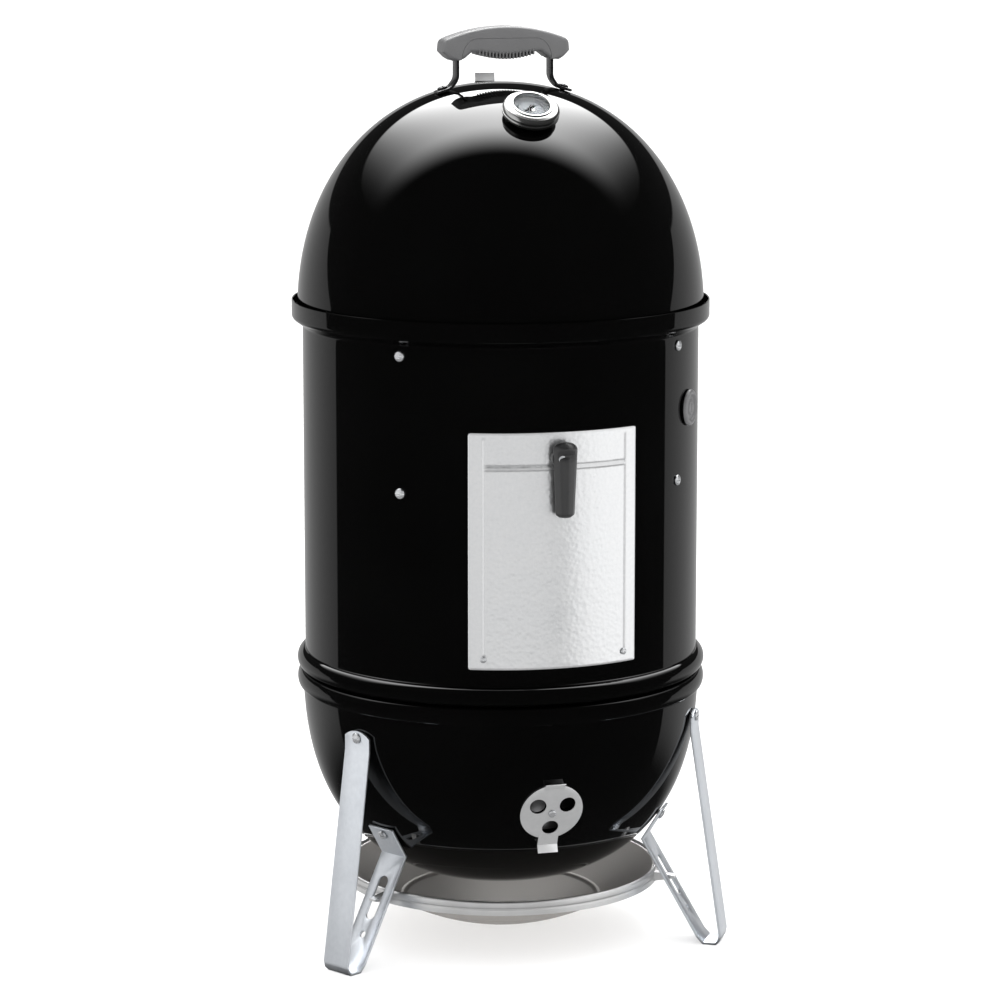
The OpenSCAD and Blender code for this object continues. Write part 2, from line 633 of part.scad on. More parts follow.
module handle_bracket() color(enamel) difference() {
  translate([0, -handle_fwd + handle_strap_w / 2, 0]) rotate([90, 0, 0]) linear_extrude(handle_strap_w)
    polygon(strip([[-foot_x1, foot_z(foot_x1)], [-foot_x0, foot_z(foot_x0)],
      [-strap_gap / 2, apex_z + 5], [-strap_gap / 2, strap_top], [strap_gap / 2, strap_top],
      [strap_gap / 2, apex_z + 5], [foot_x0, foot_z(foot_x0)], [foot_x1, foot_z(foot_x1)]], handle_t));
  for (s = [-1, 1]) at_foot(s) rod(bolt_r + bolt_gap, -8, 8);
  for (s = [-1, 1]) translate([s * grip_screw_x, -handle_fwd, 0])
    rod(2 + bolt_gap, strap_top - 5, strap_top + 5);
}

module handle_bolts() color(enamel) for (s = [-1, 1]) at_foot(s) translate([0, 0, handle_t / 2 + gap])
  bolt(bolt_r, bolt_head_r, handle_t + sheet_t + nut_h + 6);
module handle_nuts() color(zinc) for (s = [-1, 1]) at_foot(s)
  translate([0, 0, -handle_t / 2 - sheet_t - 2.2]) nut(nut_r, bolt_r);

grip_screw_x = 22;
grip_bow = grip_top_z - grip_end_z;
grip_arc_r = (grip_half * grip_half + grip_bow * grip_bow) / (2 * grip_bow);
function grip_arch(off) = concat(
  arc(seam_half - seam_r, grip_low, seam_r - off, grip_seam - grip_low - off, 0, 90, 8),
  arc(seam_r - seam_half, grip_low, seam_r - off, grip_seam - grip_low - off, 90, 180, 8));

// A block of the grip: an outline in X and Z, centred front to back on the strap
module grip_block(d) translate([0, -handle_fwd + d / 2, 0]) rotate([90, 0, 0]) linear_extrude(d) children();

module grip_cover() color(grip_grey) difference() {
  grip_block(grip_d) polygon(concat(
    [for (i = [-8 : 8]) let (x = grip_half * i / 8)
      [x, grip_top_z - grip_arc_r + sqrt(grip_arc_r * grip_arc_r - x * x)]],
    [[grip_half + 1, grip_low + 9], [grip_half - 6, grip_low + 2], [seam_half + 9, grip_low - 1],
      [seam_half, grip_low - 0.5]], grip_arch(0),
    [[-seam_half, grip_low - 0.5], [-seam_half - 9, grip_low - 1], [6 - grip_half, grip_low + 2],
      [-grip_half - 1, grip_low + 9]]));
  translate([-strap_gap / 2 - handle_t / 2 - gap, -handle_fwd - handle_strap_w / 2 - gap, grip_low - 5])
    cube([strap_gap + handle_t + 2 * gap, handle_strap_w + 2 * gap,
      strap_top + handle_t / 2 + gap - grip_low + 5]);
  for (s = [-1, 1]) translate([s * grip_screw_x, -handle_fwd, 0]) rod(2 + bolt_gap, strap_top, strap_top + 7);
}

module grip_insert() color(grip_grey) difference() {
  grip_block(grip_d) polygon(concat(grip_arch(0.3), [[0.3 - seam_half, grip_low],
    [4 - seam_half, grip_low + 1.5], [12 - seam_half, grip_low + 8]],
    [for (i = [-6 : 6]) let (x = 5 * i) [x, grip_low + 8 - 3 * cos(90 * i / 6)]],
    [[seam_half - 12, grip_low + 8], [seam_half - 4, grip_low + 1.5], [seam_half - 0.3, grip_low]]));
  for (s = [-1, 1]) translate([s * grip_screw_x, -handle_fwd, 0]) {
    rod(2 + bolt_gap, grip_low, grip_seam + 1);
    rod(4.5, grip_low, grip_low + 11);
  }
}

module grip_screws() color(zinc) for (s = [-1, 1]) translate([s * grip_screw_x, -handle_fwd, 0]) {
  rod(4, grip_low + 8, grip_low + 10.7);
  rod(2, grip_low + 10, strap_top + 6);
}

// ---- Lid damper ----
module lid_damper() on_dome(180, lid_vent_r) damper(lid_dish, 180);
module lid_damper_rivet() color(zinc) on_dome(180, lid_vent_r) damper_rivet();

// ---- Thermometer, square to the dome ----
stem_r = 4;
dial_z = gauge_h - 7;
axle_r = 0.8;
module gauge_place() on_dome(0, gauge_pos) children();

module gauge_case() color(aluminium) gauge_place() difference() {
  rotate_extrude() polygon([[0, gap], [gauge_r - 5, gap], [gauge_r - 1, 4], [gauge_r, 5],
    [gauge_r, gauge_h * 0.45], [gauge_r - 1, gauge_h * 0.5], [gauge_r, gauge_h * 0.55],
    [gauge_r, gauge_h * 0.7], [gauge_r - 2, gauge_h - 2], [window_r + 2, gauge_h],
    [window_r + gap, gauge_h], [window_r + gap, dial_z - 3], [0, dial_z - 3]]);
  rod(stem_r + bolt_gap, -1, dial_z);
}

module gauge_dial() color("white") gauge_place() difference() {
  rod(window_r, dial_z - 2, dial_z - 1);
  rod(axle_r + run_gap, dial_z - 4, dial_z);
}

// A tapered pointer on a short axle, lying towards the lower left of the dial
module gauge_needle() color(nylon) gauge_place() rotate([0, 0, -50]) {
  translate([0, 0, dial_z]) linear_extrude(0.8)
    polygon([[-5, -1.6], [-5, 1.6], [window_r - 4, 0.4], [window_r - 4, -0.4]]);
  rod(2.4, dial_z, dial_z + 1.4);
  rod(axle_r, dial_z - 2.4, dial_z + 0.5);
}

module gauge_lens() color([0.8, 0.85, 0.9, 0.35]) gauge_place() rod(window_r, gauge_h - 1.8, gauge_h - 0.3);

module gauge_bezel() color(aluminium) gauge_place() rotate_extrude() polygon([[window_r - 1.5, gauge_h],
  [window_r - 1.5, gauge_h + 0.6], [window_r + 0.5, gauge_h + 2.4], [window_r + 3, gauge_h + 2.4],
  [window_r + 4, gauge_h + 1.2], [window_r + 4, gauge_h + 0.3], [window_r + 2.5, gauge_h + 0.3],
  [window_r + 2.5, gauge_h]]);

module gauge_stem() color(zinc) gauge_place() union() {
  rod(stem_r, -45, dial_z - 3 - gap);
  rod(2.2, -60, -44);
}

module gauge_nut() color(zinc) gauge_place() translate([0, 0, -sheet_t - 0.8]) nut(7.5, stem_r);

bowl();
leg(leg_azimuths[0]);  // leg_front_left
leg(leg_azimuths[1]);  // leg_front_right
leg(leg_azimuths[2]);  // leg_back
leg_bolts();
leg_nuts();
grate_brackets();
heat_shield();
bowl_damper(0);  // bowl_damper_front
bowl_damper(1);  // bowl_damper_right
bowl_damper(2);  // bowl_damper_left
bowl_damper_rivets();
charcoal_grate();
charcoal_ring();
body_shell();
strap(strap_azimuths[0]);  // strap_front_right
strap(strap_azimuths[1]);  // strap_back_right
strap(strap_azimuths[2]);  // strap_back_left
strap(strap_azimuths[3]);  // strap_front_left
strap_bolts();
strap_nuts();
probe_grommet();
water_pan();
cooking_grate(lower_grate_r, lower_seat);  // lower_grate
cooking_grate(upper_grate_r, upper_seat);  // upper_grate
door_panel();
door_hooks();
door_rivets();
door_knob();
latch_shaft();
latch_tongue();
lid();
handle_bracket();
handle_bolts();
handle_nuts();
grip_cover();
grip_insert();
grip_screws();
lid_damper();
lid_damper_rivet();
gauge_case();
gauge_dial();
gauge_needle();
gauge_lens();
gauge_bezel();
gauge_stem();
gauge_nut();
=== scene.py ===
"""A vertical water smoker: enamelled bowl, middle section and lid on three strap legs.

Everything is in metres and in the frame of the CAD model: +Z is up and the fuel door faces -Y.
An azimuth is counted from the door (-Y) towards +X.
"""

import json
import math

import bmesh
import bpy
from mathutils import Matrix, Vector


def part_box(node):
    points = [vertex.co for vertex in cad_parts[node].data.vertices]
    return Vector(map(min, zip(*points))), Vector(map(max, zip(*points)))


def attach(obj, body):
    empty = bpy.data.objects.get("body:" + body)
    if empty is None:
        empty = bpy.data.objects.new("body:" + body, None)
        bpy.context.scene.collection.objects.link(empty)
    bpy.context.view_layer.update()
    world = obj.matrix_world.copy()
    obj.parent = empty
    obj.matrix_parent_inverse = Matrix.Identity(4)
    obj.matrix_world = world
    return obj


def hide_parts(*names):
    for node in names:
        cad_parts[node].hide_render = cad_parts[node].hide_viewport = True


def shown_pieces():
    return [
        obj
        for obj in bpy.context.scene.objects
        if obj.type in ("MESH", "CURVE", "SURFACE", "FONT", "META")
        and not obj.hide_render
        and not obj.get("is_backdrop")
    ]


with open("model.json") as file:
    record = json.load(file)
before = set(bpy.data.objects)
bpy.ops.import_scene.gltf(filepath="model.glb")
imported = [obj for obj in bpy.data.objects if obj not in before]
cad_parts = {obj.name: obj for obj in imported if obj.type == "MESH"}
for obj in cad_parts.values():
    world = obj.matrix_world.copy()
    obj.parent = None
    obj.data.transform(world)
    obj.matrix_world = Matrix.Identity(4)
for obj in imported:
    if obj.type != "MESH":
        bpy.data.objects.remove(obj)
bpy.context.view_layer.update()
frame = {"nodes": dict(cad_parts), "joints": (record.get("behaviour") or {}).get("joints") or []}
mm = 0.001
joints = {joint["name"]: joint for joint in frame["joints"]}

# ---- Bowl ----
# The charcoal bowl is pressed from 1.6 mm steel, rolled into a bead at its rim and coated inside
# and out with gloss black porcelain enamel. Three groups of three vent holes are punched through it.
sheet = 1.6 * mm
turn_steps = 288
bowl_low, bowl_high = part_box("bowl")
bead_out = 6 * mm
bead_half = 10.5 * mm
bowl_radius = bowl_high.x - bead_out
bowl_top = bowl_high.z
bowl_widest = bowl_top + 15 * mm
bowl_depth = bowl_widest - bowl_low.z
bowl_roundness = 2.527
vent_radius = 9.2 * mm
vent_pitch = 19.5 * mm
drill_half = 12 * mm


def as_mesh(name, build):
    """The shape of a bmesh, which is freed, as a mesh."""
    mesh = bpy.data.meshes.new(name)
    build.to_mesh(mesh)
    build.free()
    return mesh


def add(name, data):
    """A new object in the scene."""
    thing = bpy.data.objects.new(name, data)
    bpy.context.scene.collection.objects.link(thing)
    return thing


def new_piece(name, build, material, body, slot, *nodes):
    """A finished piece from a bmesh."""
    return settle(add(name, as_mesh(name, build)), material, body, slot, *nodes)


def settle(piece, material, body, slot, *nodes):
    """Gives a piece its finish, puts it on its body and lets it stand for its nodes."""
    piece.data.materials.append(material)
    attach(piece, body)
    if nodes:
        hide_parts(*nodes)
    return piece


def shade(build, sharp=32):
    """Smooth faces, with a hard edge wherever two faces meet at more than this many degrees."""
    bmesh.ops.recalc_face_normals(build, faces=build.faces)
    for face in build.faces:
        face.smooth = True
    for edge in build.edges:
        flat = len(edge.link_faces) == 2 and edge.calc_face_angle(0) < math.radians(sharp)
        edge.smooth = flat


def spin(profile, closed=True, steps=turn_steps, sharp=32):
    """Turns an outline of (radius, height) points once round the Z axis."""
    build = bmesh.new()
    rings = []
    for k in range(steps):
        angle = math.tau * k / steps
        along = (math.sin(angle), -math.cos(angle))
        rings.append([build.verts.new((r * along[0], r * along[1], z)) for r, z in profile])
    spans = len(profile) if closed else len(profile) - 1
    for k in range(steps):
        ring, following = rings[k], rings[(k + 1) % steps]
        for i in range(spans):
            j = (i + 1) % len(profile)
            if profile[i][0] < 1e-7 and profile[j][0] < 1e-7:
                continue
            build.faces.new((ring[i], following[i], following[j], ring[j]))
    bmesh.ops.remove_doubles(build, verts=build.verts, dist=1e-6)
    bmesh.ops.dissolve_degenerate(build, edges=build.edges, dist=1e-7)
    shade(build, sharp)
    return build


def rounded_shell(radius, depth, roundness, count):
    """Points of a rounded shell from its widest circle to its pole, as (radius, height)."""
    points = []
    for k in range(count + 1):
        angle = math.pi / 2 * k / count
        across = radius * max(math.cos(angle), 0) ** (2 / roundness)
        points.append((across if k < count else 0.0, depth * math.sin(angle) ** (2 / roundness)))
    return points


def arc(centre, across, up, start, end, count):
    """Points along part of an ellipse, between two angles in degrees."""
    angles = [math.radians(start + (end - start) * k / count) for k in range(count + 1)]
    return [(centre[0] + across * math.cos(a), centre[1] + up * math.sin(a)) for a in angles]


def standing_on(joint, turn=0):
    """The place of a joint on a shell: local Z points out of the shell and local X down its slope."""
    out = Vector(joint["axis"]).normalized()
    down = (Vector((0, 0, -1)) - out * out.dot(Vector((0, 0, -1)))).normalized()
    across = out.cross(down)
    place = Matrix((down, across, out)).transposed().to_4x4()
    place.translation = Vector(joint["pos_m"])
    return place @ Matrix.Rotation(math.radians(turn), 4, "Z")


def bored(build, drills):
    """The shape with round holes cut through it; a drill is a place, a radius and a half length."""
    tools = []
    for place, radius, half in drills:
        cutter = bmesh.new()
        bmesh.ops.create_cone(
            cutter, cap_ends=True, segments=48, radius1=radius, radius2=radius, depth=2 * half, matrix=place
        )
        tools.append(cutter)
    return carve(build, tools)


def carve(build, tools):
    """The shape with each cutting shape taken out of it."""
    work = add("work", as_mesh("work", build))
    for cutter in tools:
        tool = add("tool", as_mesh("tool", cutter))
        step = work.modifiers.new("cut", "BOOLEAN")
        step.operation = "DIFFERENCE"
        step.solver = "EXACT"
        step.object = tool
        graph = bpy.context.evaluated_depsgraph_get()
        done = bpy.data.meshes.new_from_object(work.evaluated_get(graph))
        work.modifiers.clear()
        work.data = done
        bpy.data.objects.remove(tool)
    cut = bmesh.new()
    cut.from_mesh(work.data)
    bpy.data.objects.remove(work)
    shade(cut)
    return cut


def vent_drills(joint, turn):
    """The three holes round a damper's rivet."""
    place = standing_on(joint, turn)
    holes = [Matrix.Rotation(math.tau * k / 3, 4, "Z") for k in range(3)]
    offset = Matrix.Translation((vent_pitch, 0, 0))
    return [(place @ hole @ offset, vent_radius, drill_half) for hole in holes]


def finish(name):
    """A new material with its node tree and its shader."""
    material = bpy.data.materials.new(name)
    material.use_nodes = True
    tree = material.node_tree
    return material, tree, tree.nodes["Principled BSDF"]


def place_node(tree, kind, inputs=None, **settings):
    """One node, its settings, and its inputs: a value, or another node's output to link."""
    node = tree.nodes.new(kind)
    for key, value in settings.items():
        setattr(node, key, value)
    for key, value in (inputs or {}).items():
        if isinstance(value, bpy.types.NodeSocket):
            tree.links.new(value, node.inputs[key])
        else:
            node.inputs[key].default_value = value
    return node


def effect(name, inputs, outputs):
    """An empty node group with named sockets, and its input and output nodes."""
    group = bpy.data.node_groups.new(name, "ShaderNodeTree")
    for label, kind, value in inputs:
        socket = group.interface.new_socket(label, in_out="INPUT", socket_type=kind)
        if value is not None:
            socket.default_value = value
    for label, kind in outputs:
        group.interface.new_socket(label, in_out="OUTPUT", socket_type=kind)
    return group, group.nodes.new("NodeGroupInput"), group.nodes.new("NodeGroupOutput")


# Slow, soft variation of a coated or plated surface: a value from 0 to 1 at two sizes.
unevenness, uneven_in, uneven_out = effect(
    "unevenness",
    [
        ("Size", "NodeSocketFloat", 12.0),
        ("Fine Size", "NodeSocketFloat", 90.0),
        ("Fine Share", "NodeSocketFloat", 0.3),
    ],
    [("Value", "NodeSocketFloat")],
)
where = place_node(unevenness, "ShaderNodeTexCoord").outputs["Object"]
broad = place_node(
    unevenness,
    "ShaderNodeTexNoise",
    {"Vector": where, "Scale": uneven_in.outputs["Size"], "Detail": 3.0},
)
fine = place_node(
    unevenness,
    "ShaderNodeTexNoise",
    {"Vector": where, "Scale": uneven_in.outputs["Fine Size"], "Detail": 2.0},
)
both = place_node(
    unevenness,
    "ShaderNodeMix",
    {0: uneven_in.outputs["Fine Share"], 2: broad.outputs["Fac"], 3: fine.outputs["Fac"]},
)
unevenness.links.new(both.outputs[0], uneven_out.inputs["Value"])


def use(tree, group, **inputs):
    """Places a shared effect in a material with this material's own values and gives its value."""
    node = tree.nodes.new("ShaderNodeGroup")
    node.node_tree = group
    for key, value in inputs.items():
        label = key.replace("_", " ")
        if isinstance(value, bpy.types.NodeSocket):
            tree.links.new(value, node.inputs[label])
        else:
            node.inputs[label].default_value = value
    return node.outputs["Value"]


noise_low, noise_high = 0.3, 0.7


def mapped(tree, value, start, end, low, high, **settings):
    """Spreads a value's run from start to end over low to high."""
    inputs = {"Value": value, "From Min": start, "From Max": end, "To Min": low, "To Max": high}
    return place_node(tree, "ShaderNodeMapRange", inputs, **settings).outputs["Result"]


def between(tree, value, low, high):
    """Spreads a noise value over a range of numbers."""
    return mapped(tree, value, noise_low, noise_high, low, high)


def tinted(tree, value, first, second):
    """Runs from one colour to another as a noise value rises."""
    ramp = place_node(tree, "ShaderNodeValToRGB", {"Fac": value})
    ramp.color_ramp.elements[0].position = noise_low
    ramp.color_ramp.elements[1].position = noise_high
    ramp.color_ramp.elements[0].color = (*first, 1)
    ramp.color_ramp.elements[1].color = (*second, 1)
    return ramp.outputs["Color"]


def raised(tree, height, strength, distance):
    """A bump normal from a height."""
    return place_node(
        tree, "ShaderNodeBump", {"Height": height, "Strength": strength, "Distance": distance}
    ).outputs["Normal"]


def feed(tree, shader, **outputs):
    """Links the shader's sockets, named with underscores, to what other nodes put out."""
    for key, value in outputs.items():
        tree.links.new(value, shader.inputs[key.replace("_", " ")])


def gloss_enamel():
    """Black porcelain enamel: glassy, with the faint waves that firing leaves in it."""
    material, tree, shader = finish("gloss_enamel")
    flow = use(tree, unevenness, Size=9.0, Fine_Size=140.0, Fine_Share=0.25)
    spot = place_node(tree, "ShaderNodeTexCoord").outputs["Object"]
    waves = place_node(tree, "ShaderNodeTexNoise", {"Vector": spot, "Scale": 170.0, "Detail": 1.0})
    feed(
        tree,
        shader,
        Base_Color=tinted(tree, flow, (0.0005, 0.0005, 0.0005), (0.001, 0.001, 0.001)),
        Roughness=between(tree, flow, 0.012, 0.04),
        Normal=raised(tree, waves.outputs["Fac"], 0.05, 0.02 * mm),
    )
    shader.inputs["IOR"].default_value = 1.5
    return material


enamel = gloss_enamel()

outside = rounded_shell(bowl_radius, bowl_depth, bowl_roundness, 150)
inside = rounded_shell(bowl_radius - sheet, bowl_depth - sheet, bowl_roundness, 90)
outer = [(r, bowl_widest - h) for r, h in outside]
inner = [(r, bowl_widest - h) for r, h in inside]
bead_mid = bowl_top - bead_half
outline = [p for p in reversed(outer) if p[1] < bead_mid - bead_half]
outline += arc((bowl_radius, bead_mid), bead_out, bead_half, -78, 84, 22)
outline += arc((bowl_radius - sheet / 2, bowl_top - sheet / 2), sheet / 2, sheet / 2, 90, 180, 4)
outline += [p for p in inner if p[1] < bead_mid]
vents = []
for side, turn in (("front", 0), ("right", 0), ("left", 180)):
    vents += vent_drills(joints[f"bowl_damper_{side}_turn"], turn)
new_piece("bowl_shell", bored(spin(outline), vents), enamel, "root", "enamel", "bowl")

# ---- Legs ----
# Each leg is one 38 x 3 mm plated steel strap, bent to a foot and up again to a lug. Its inner arm
# has a long slot for the heat shield. Two bolts hold it to the bowl, and the lower one also holds
# the bracket for the charcoal grate.
leg_nodes = ("leg_front_left", "leg_front_right", "leg_back")


def eased(node, width, segments=2, sharp=30, only=None):
    """A node's own shape with its hard edges eased, as tumbling or a press leaves them."""
    build = bmesh.new()
    build.from_mesh(frame["nodes"][node].data)
    bmesh.ops.remove_doubles(build, verts=build.verts, dist=2e-6)
    bmesh.ops.dissolve_limit(
        build,
        angle_limit=math.radians(0.4),
        verts=build.verts,
        edges=build.edges,
        use_dissolve_boundaries=False,
    )
    corners = []
    for edge in build.edges:
        hard = len(edge.link_faces) == 2 and edge.calc_face_angle(0) > math.radians(sharp)
        if hard and (only is None or only(edge)):
            corners.append(edge)
    bmesh.ops.bevel(
        build, geom=corners, offset=width, segments=segments, profile=0.5, affect="EDGES", clamp_overlap=False
    )
    bmesh.ops.dissolve_degenerate(build, edges=build.edges, dist=1e-6)
    shade(build)
    return build


# Fine lines left by rolling or drawing, stretched along one axis.
grain, grain_in, grain_out = effect(
    "grain",
    [("Stretch", "NodeSocketVector", (1.0, 1.0, 0.02)), ("Fineness", "NodeSocketFloat", 900.0)],
    [("Value", "NodeSocketFloat")],
)
place = place_node(grain, "ShaderNodeTexCoord")
scaled = place_node(
    grain,
    "ShaderNodeVectorMath",
    {0: place.outputs["Object"], 1: grain_in.outputs["Stretch"]},
    operation="MULTIPLY",
)
lines = place_node(
    grain,
    "ShaderNodeTexNoise",
    {"Vector": scaled.outputs["Vector"], "Scale": grain_in.outputs["Fineness"], "Detail": 2.0},
)
grain.links.new(lines.outputs["Fac"], grain_out.inputs["Value"])


rough_low, rough_high = 0.85, 1.15
metal_relief = 0.05 * mm


def worked_metal(name, dark, light, rough, stretch, fineness=900.0, relief=0.12):
    """A satin metal: rolled or brushed lines over slow changes of tone."""
    material, tree, shader = finish(name)
    cloud = use(tree, unevenness, Size=22.0, Fine_Size=160.0, Fine_Share=0.4)
    hair = use(tree, grain, Stretch=stretch, Fineness=fineness)
    feed(
        tree,
        shader,
        Base_Color=tinted(tree, cloud, dark, light),
        Roughness=between(tree, hair, rough * rough_low, rough * rough_high),
        Normal=raised(tree, hair, relief, metal_relief),
    )
    shader.inputs["Metallic"].default_value = 1.0
    return material


leg_steel = worked_metal("leg_steel", (0.66, 0.69, 0.73), (0.77, 0.80, 0.84), 0.36, (1.0, 1.0, 0.03))
for node in leg_nodes:
    new_piece(f"{node}_strap", eased(node, 0.45 * mm, sharp=50), leg_steel, "root", "leg_steel", node)

# ---- Fasteners ----
# Zinc-plated round-head screws, hexagon nuts and rivets, and the small pressed steel parts that
# they hold: brackets in the bowl, ledge straps in the middle section, and the door's hooks.
zinc = worked_metal("zinc", (0.55, 0.56, 0.58), (0.74, 0.75, 0.76), 0.27, (1.0, 1.0, 1.0), 400.0, 0.06)
strap_corners = ("front_right", "back_right", "back_left", "front_left")
zinc_parts = {
    "root": ["leg_bolts", "leg_nuts", "grate_brackets", "bowl_damper_rivets"],
    "middle_section": ["strap_bolts", "strap_nuts", *(f"strap_{corner}" for corner in strap_corners)],
    "door": ["door_hooks", "door_rivets"],
    "door_latch": ["latch_shaft", "latch_tongue"],
    "lid": ["handle_nuts", "grip_screws", "lid_damper_rivet", "gauge_stem", "gauge_nut"],
}
for body, members in zinc_parts.items():
    for node in members:
        new_piece(f"{node}_zinc", eased(node, 0.22 * mm, sharp=50), zinc, body, "zinc", node)

# ---- Heat shield ----
# A dish spun from 1.2 mm aluminium with a bead pressed round it, and an upright rolled band at its
# rim. Three small tabs of the same sheet pass through the slots in the legs.
shield_low, shield_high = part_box("heat_shield")
shield_radius = 182.7 * mm
shield_sheet = 1.2 * mm
band_height = 16 * mm
band_top = shield_high.z
band_low = band_top - band_height
dish_low = shield_low.z + shield_sheet / 2
dish_edge = shield_radius - 6 * mm
dish_rim = band_top - 4 * mm
bead_ring = 112.5 * mm
bead_width = 3.2 * mm
bead_height = 1.6 * mm


def offset_line(points, distance):
    """The points of an open line moved sideways by a distance, to the left of its direction."""
    moved = []
    for k, point in enumerate(points):
        before = Vector(points[max(k - 1, 0)])
        after = Vector(points[min(k + 1, len(points) - 1)])
        along = (after - before).normalized()
        moved.append((point[0] - along.y * distance, point[1] + along.x * distance))
    return moved


def rounded_path(points, radius, count=6):
    """The same line with its corners turned on a radius."""
    path = [points[0]]
    for before, corner, after in zip(points, points[1:], points[2:]):
        before, corner, after = Vector(before), Vector(corner), Vector(after)
        back = min(radius, (before - corner).length * 0.49, (after - corner).length * 0.49)
        start = corner + (before - corner).normalized() * back
        end = corner + (after - corner).normalized() * back
        for k in range(count + 1):
            u = k / count
            path.append(tuple(start * (1 - u) ** 2 + corner * 2 * u * (1 - u) + end * u * u))
    return path + [points[-1]]


def sheet_outline(path, thickness):
    """The closed outline of a sheet that follows a line, with rounded edges."""
    left = offset_line(path, thickness / 2)
    right = offset_line(path, -thickness / 2)

    def cap(tip, inside):
        along = (Vector(tip) - Vector(inside)).normalized()
        across = Vector((-along.y, along.x))
        middle = Vector(tip) - along * thickness / 2
        angles = [math.radians(75 - 150 * k / 4) for k in range(5)]
        return [tuple(middle + (along * math.cos(a) + across * math.sin(a)) * thickness / 2) for a in angles]

    return left[1:-1] + cap(path[-1], path[-2]) + list(reversed(right[1:-1])) + cap(path[0], path[1])


def dish_height(radius):
    """The height of the dish at a radius, with the bead pressed up in it."""
    bead = max(0.0, 1 - ((radius - bead_ring) / bead_width) ** 2) ** 2
    return dish_low + (dish_rim - dish_low) * (radius / dish_edge) ** 2 + bead_height * bead


band_middle = shield_radius - shield_sheet / 2
rolled = [(band_middle, band_low), (band_middle, band_low + 0.35 * band_height)]
rolled += [(band_middle - 0.7 * mm, band_low + 0.45 * band_height)]
rolled += [(band_middle, band_low + 0.55 * band_height)]
rolled += [(band_middle, band_top - 2 * mm), (band_middle - 1.6 * mm, band_top - 0.6 * mm)]
rolled += [(dish_edge + 2.4 * mm, band_top - 1.2 * mm), (dish_edge + 1 * mm, dish_height(dish_edge))]
dish_steps = 170
dish_radii = [dish_edge * k / dish_steps for k in range(dish_steps, -1, -1)]
dish = [(radius, dish_height(radius)) for radius in dish_radii]
shield_path = rounded_path(rolled, 1.2 * mm, 4) + dish
shield_outline = offset_line(shield_path, shield_sheet / 2)[1:-1]
shield_outline += [(0.0, dish_low + shield_sheet / 2), (0.0, dish_low - shield_sheet / 2)]
shield_outline += list(reversed(offset_line(shield_path, -shield_sheet / 2)[:-1]))


def from_axis(tree):
    """How far a point is from the piece's Z axis, and its height."""
    spot = place_node(tree, "ShaderNodeTexCoord").outputs["Object"]
    parts = place_node(tree, "ShaderNodeSeparateXYZ", {"Vector": spot})
    flat = place_node(tree, "ShaderNodeCombineXYZ", {"X": parts.outputs["X"], "Y": parts.outputs["Y"]})
    reach = place_node(tree, "ShaderNodeVectorMath", {0: flat.outputs["Vector"]}, operation="LENGTH")
    return reach.outputs["Value"], parts.outputs["Z"]


def spun_metal(name, dark, light, rough, pitch, relief):
    """Turned or spun metal: fine rings round the Z axis of the piece."""
    material, tree, shader = finish(name)
    reach, up = from_axis(tree)
    ring_at = place_node(tree, "ShaderNodeCombineXYZ", {"X": reach, "Y": up}).outputs["Vector"]
    rings = place_node(tree, "ShaderNodeTexNoise", {"Vector": ring_at, "Scale": pitch, "Detail": 2.0})
    cloud = use(tree, unevenness, Size=14.0, Fine_Size=60.0, Fine_Share=0.3)
    feed(
        tree,
        shader,
        Base_Color=tinted(tree, cloud, dark, light),
        Roughness=between(tree, rings.outputs["Fac"], rough * rough_low, rough * rough_high),
        Normal=raised(tree, rings.outputs["Fac"], relief, metal_relief),
    )
    shader.inputs["Metallic"].default_value = 1.0
    return material


# Inside its band, under the bowl, the dish's colour is painted darker as painted shade; it is also duller and
# less like metal there.
shield_metal = spun_metal("shield_metal", (0.60, 0.60, 0.60), (0.70, 0.70, 0.70), 0.36, 900.0, 0.1)
tree = shield_metal.node_tree
shader = tree.nodes["Principled BSDF"]
clean = shader.inputs["Base Color"].links[0].from_socket
shaded_and_dull = mapped(tree, from_axis(tree)[0], dish_edge - 2 * mm, dish_edge + 2 * mm, 1.0, 0.0)
# Painted shade: the dish's colour turns darker inside its band, where it lies under the bowl.
painted_shade_tone = place_node(
    tree, "ShaderNodeMix", {0: shaded_and_dull, 6: clean, 7: (0.30, 0.285, 0.27, 1.0)}, data_type="RGBA"
)
feed(
    tree,
    shader,
    Base_Color=painted_shade_tone.outputs[2],
    Metallic=mapped(tree, shaded_and_dull, 0.0, 1.0, 1.0, 0.35),
    Roughness=mapped(tree, shaded_and_dull, 0.0, 1.0, 0.36, 0.6),
)
shield = spin(shield_outline, sharp=50)
tab_half = 5 * mm
tab_start = -(shield_radius - 0.6 * mm)
tab_end = -(shield_radius + 24 * mm)
root_low, root_high = band_low + 2 * mm, band_top - 3 * mm
tip_low, tip_high = band_low + 7 * mm, band_low + 9.5 * mm
for azimuth in (-60, 60, 180):
    turn = Matrix.Rotation(math.radians(azimuth), 4, "Z")
    ends = []
    for y, low, high in ((tab_start, root_low, root_high), (tab_end, tip_low, tip_high)):
        corners = ((-tab_half, low), (tab_half, low), (tab_half, high), (-tab_half, high))
        ends.append([shield.verts.new(turn @ Vector((x, y, z))) for x, z in corners])
    near, far = ends
    for k in range(4):
        shield.faces.new((near[k], near[(k + 1) % 4], far[(k + 1) % 4], far[k]))
    shield.faces.new(far)
    shield.faces.new(list(reversed(near)))
shade(shield, 50)
new_piece("heat_shield_dish", shield, shield_metal, "root", "shield_aluminium", "heat_shield")

# ---- Dampers ----
# Each vent is covered by a dished disc stamped from 1.2 mm aluminium, with three holes that line up
# with the shell's when it is open, a scooped finger tab and a short stop tab. A rivet holds it.
damper_metal = worked_metal(
    "damper_metal", (0.84, 0.845, 0.85), (0.94, 0.945, 0.95), 0.33, (1.0, 1.0, 1.0), 500.0, 0.1
)
dampers = ("bowl_damper_front", "bowl_damper_right", "bowl_damper_left", "lid_damper")
damper_radius = 35.8 * mm
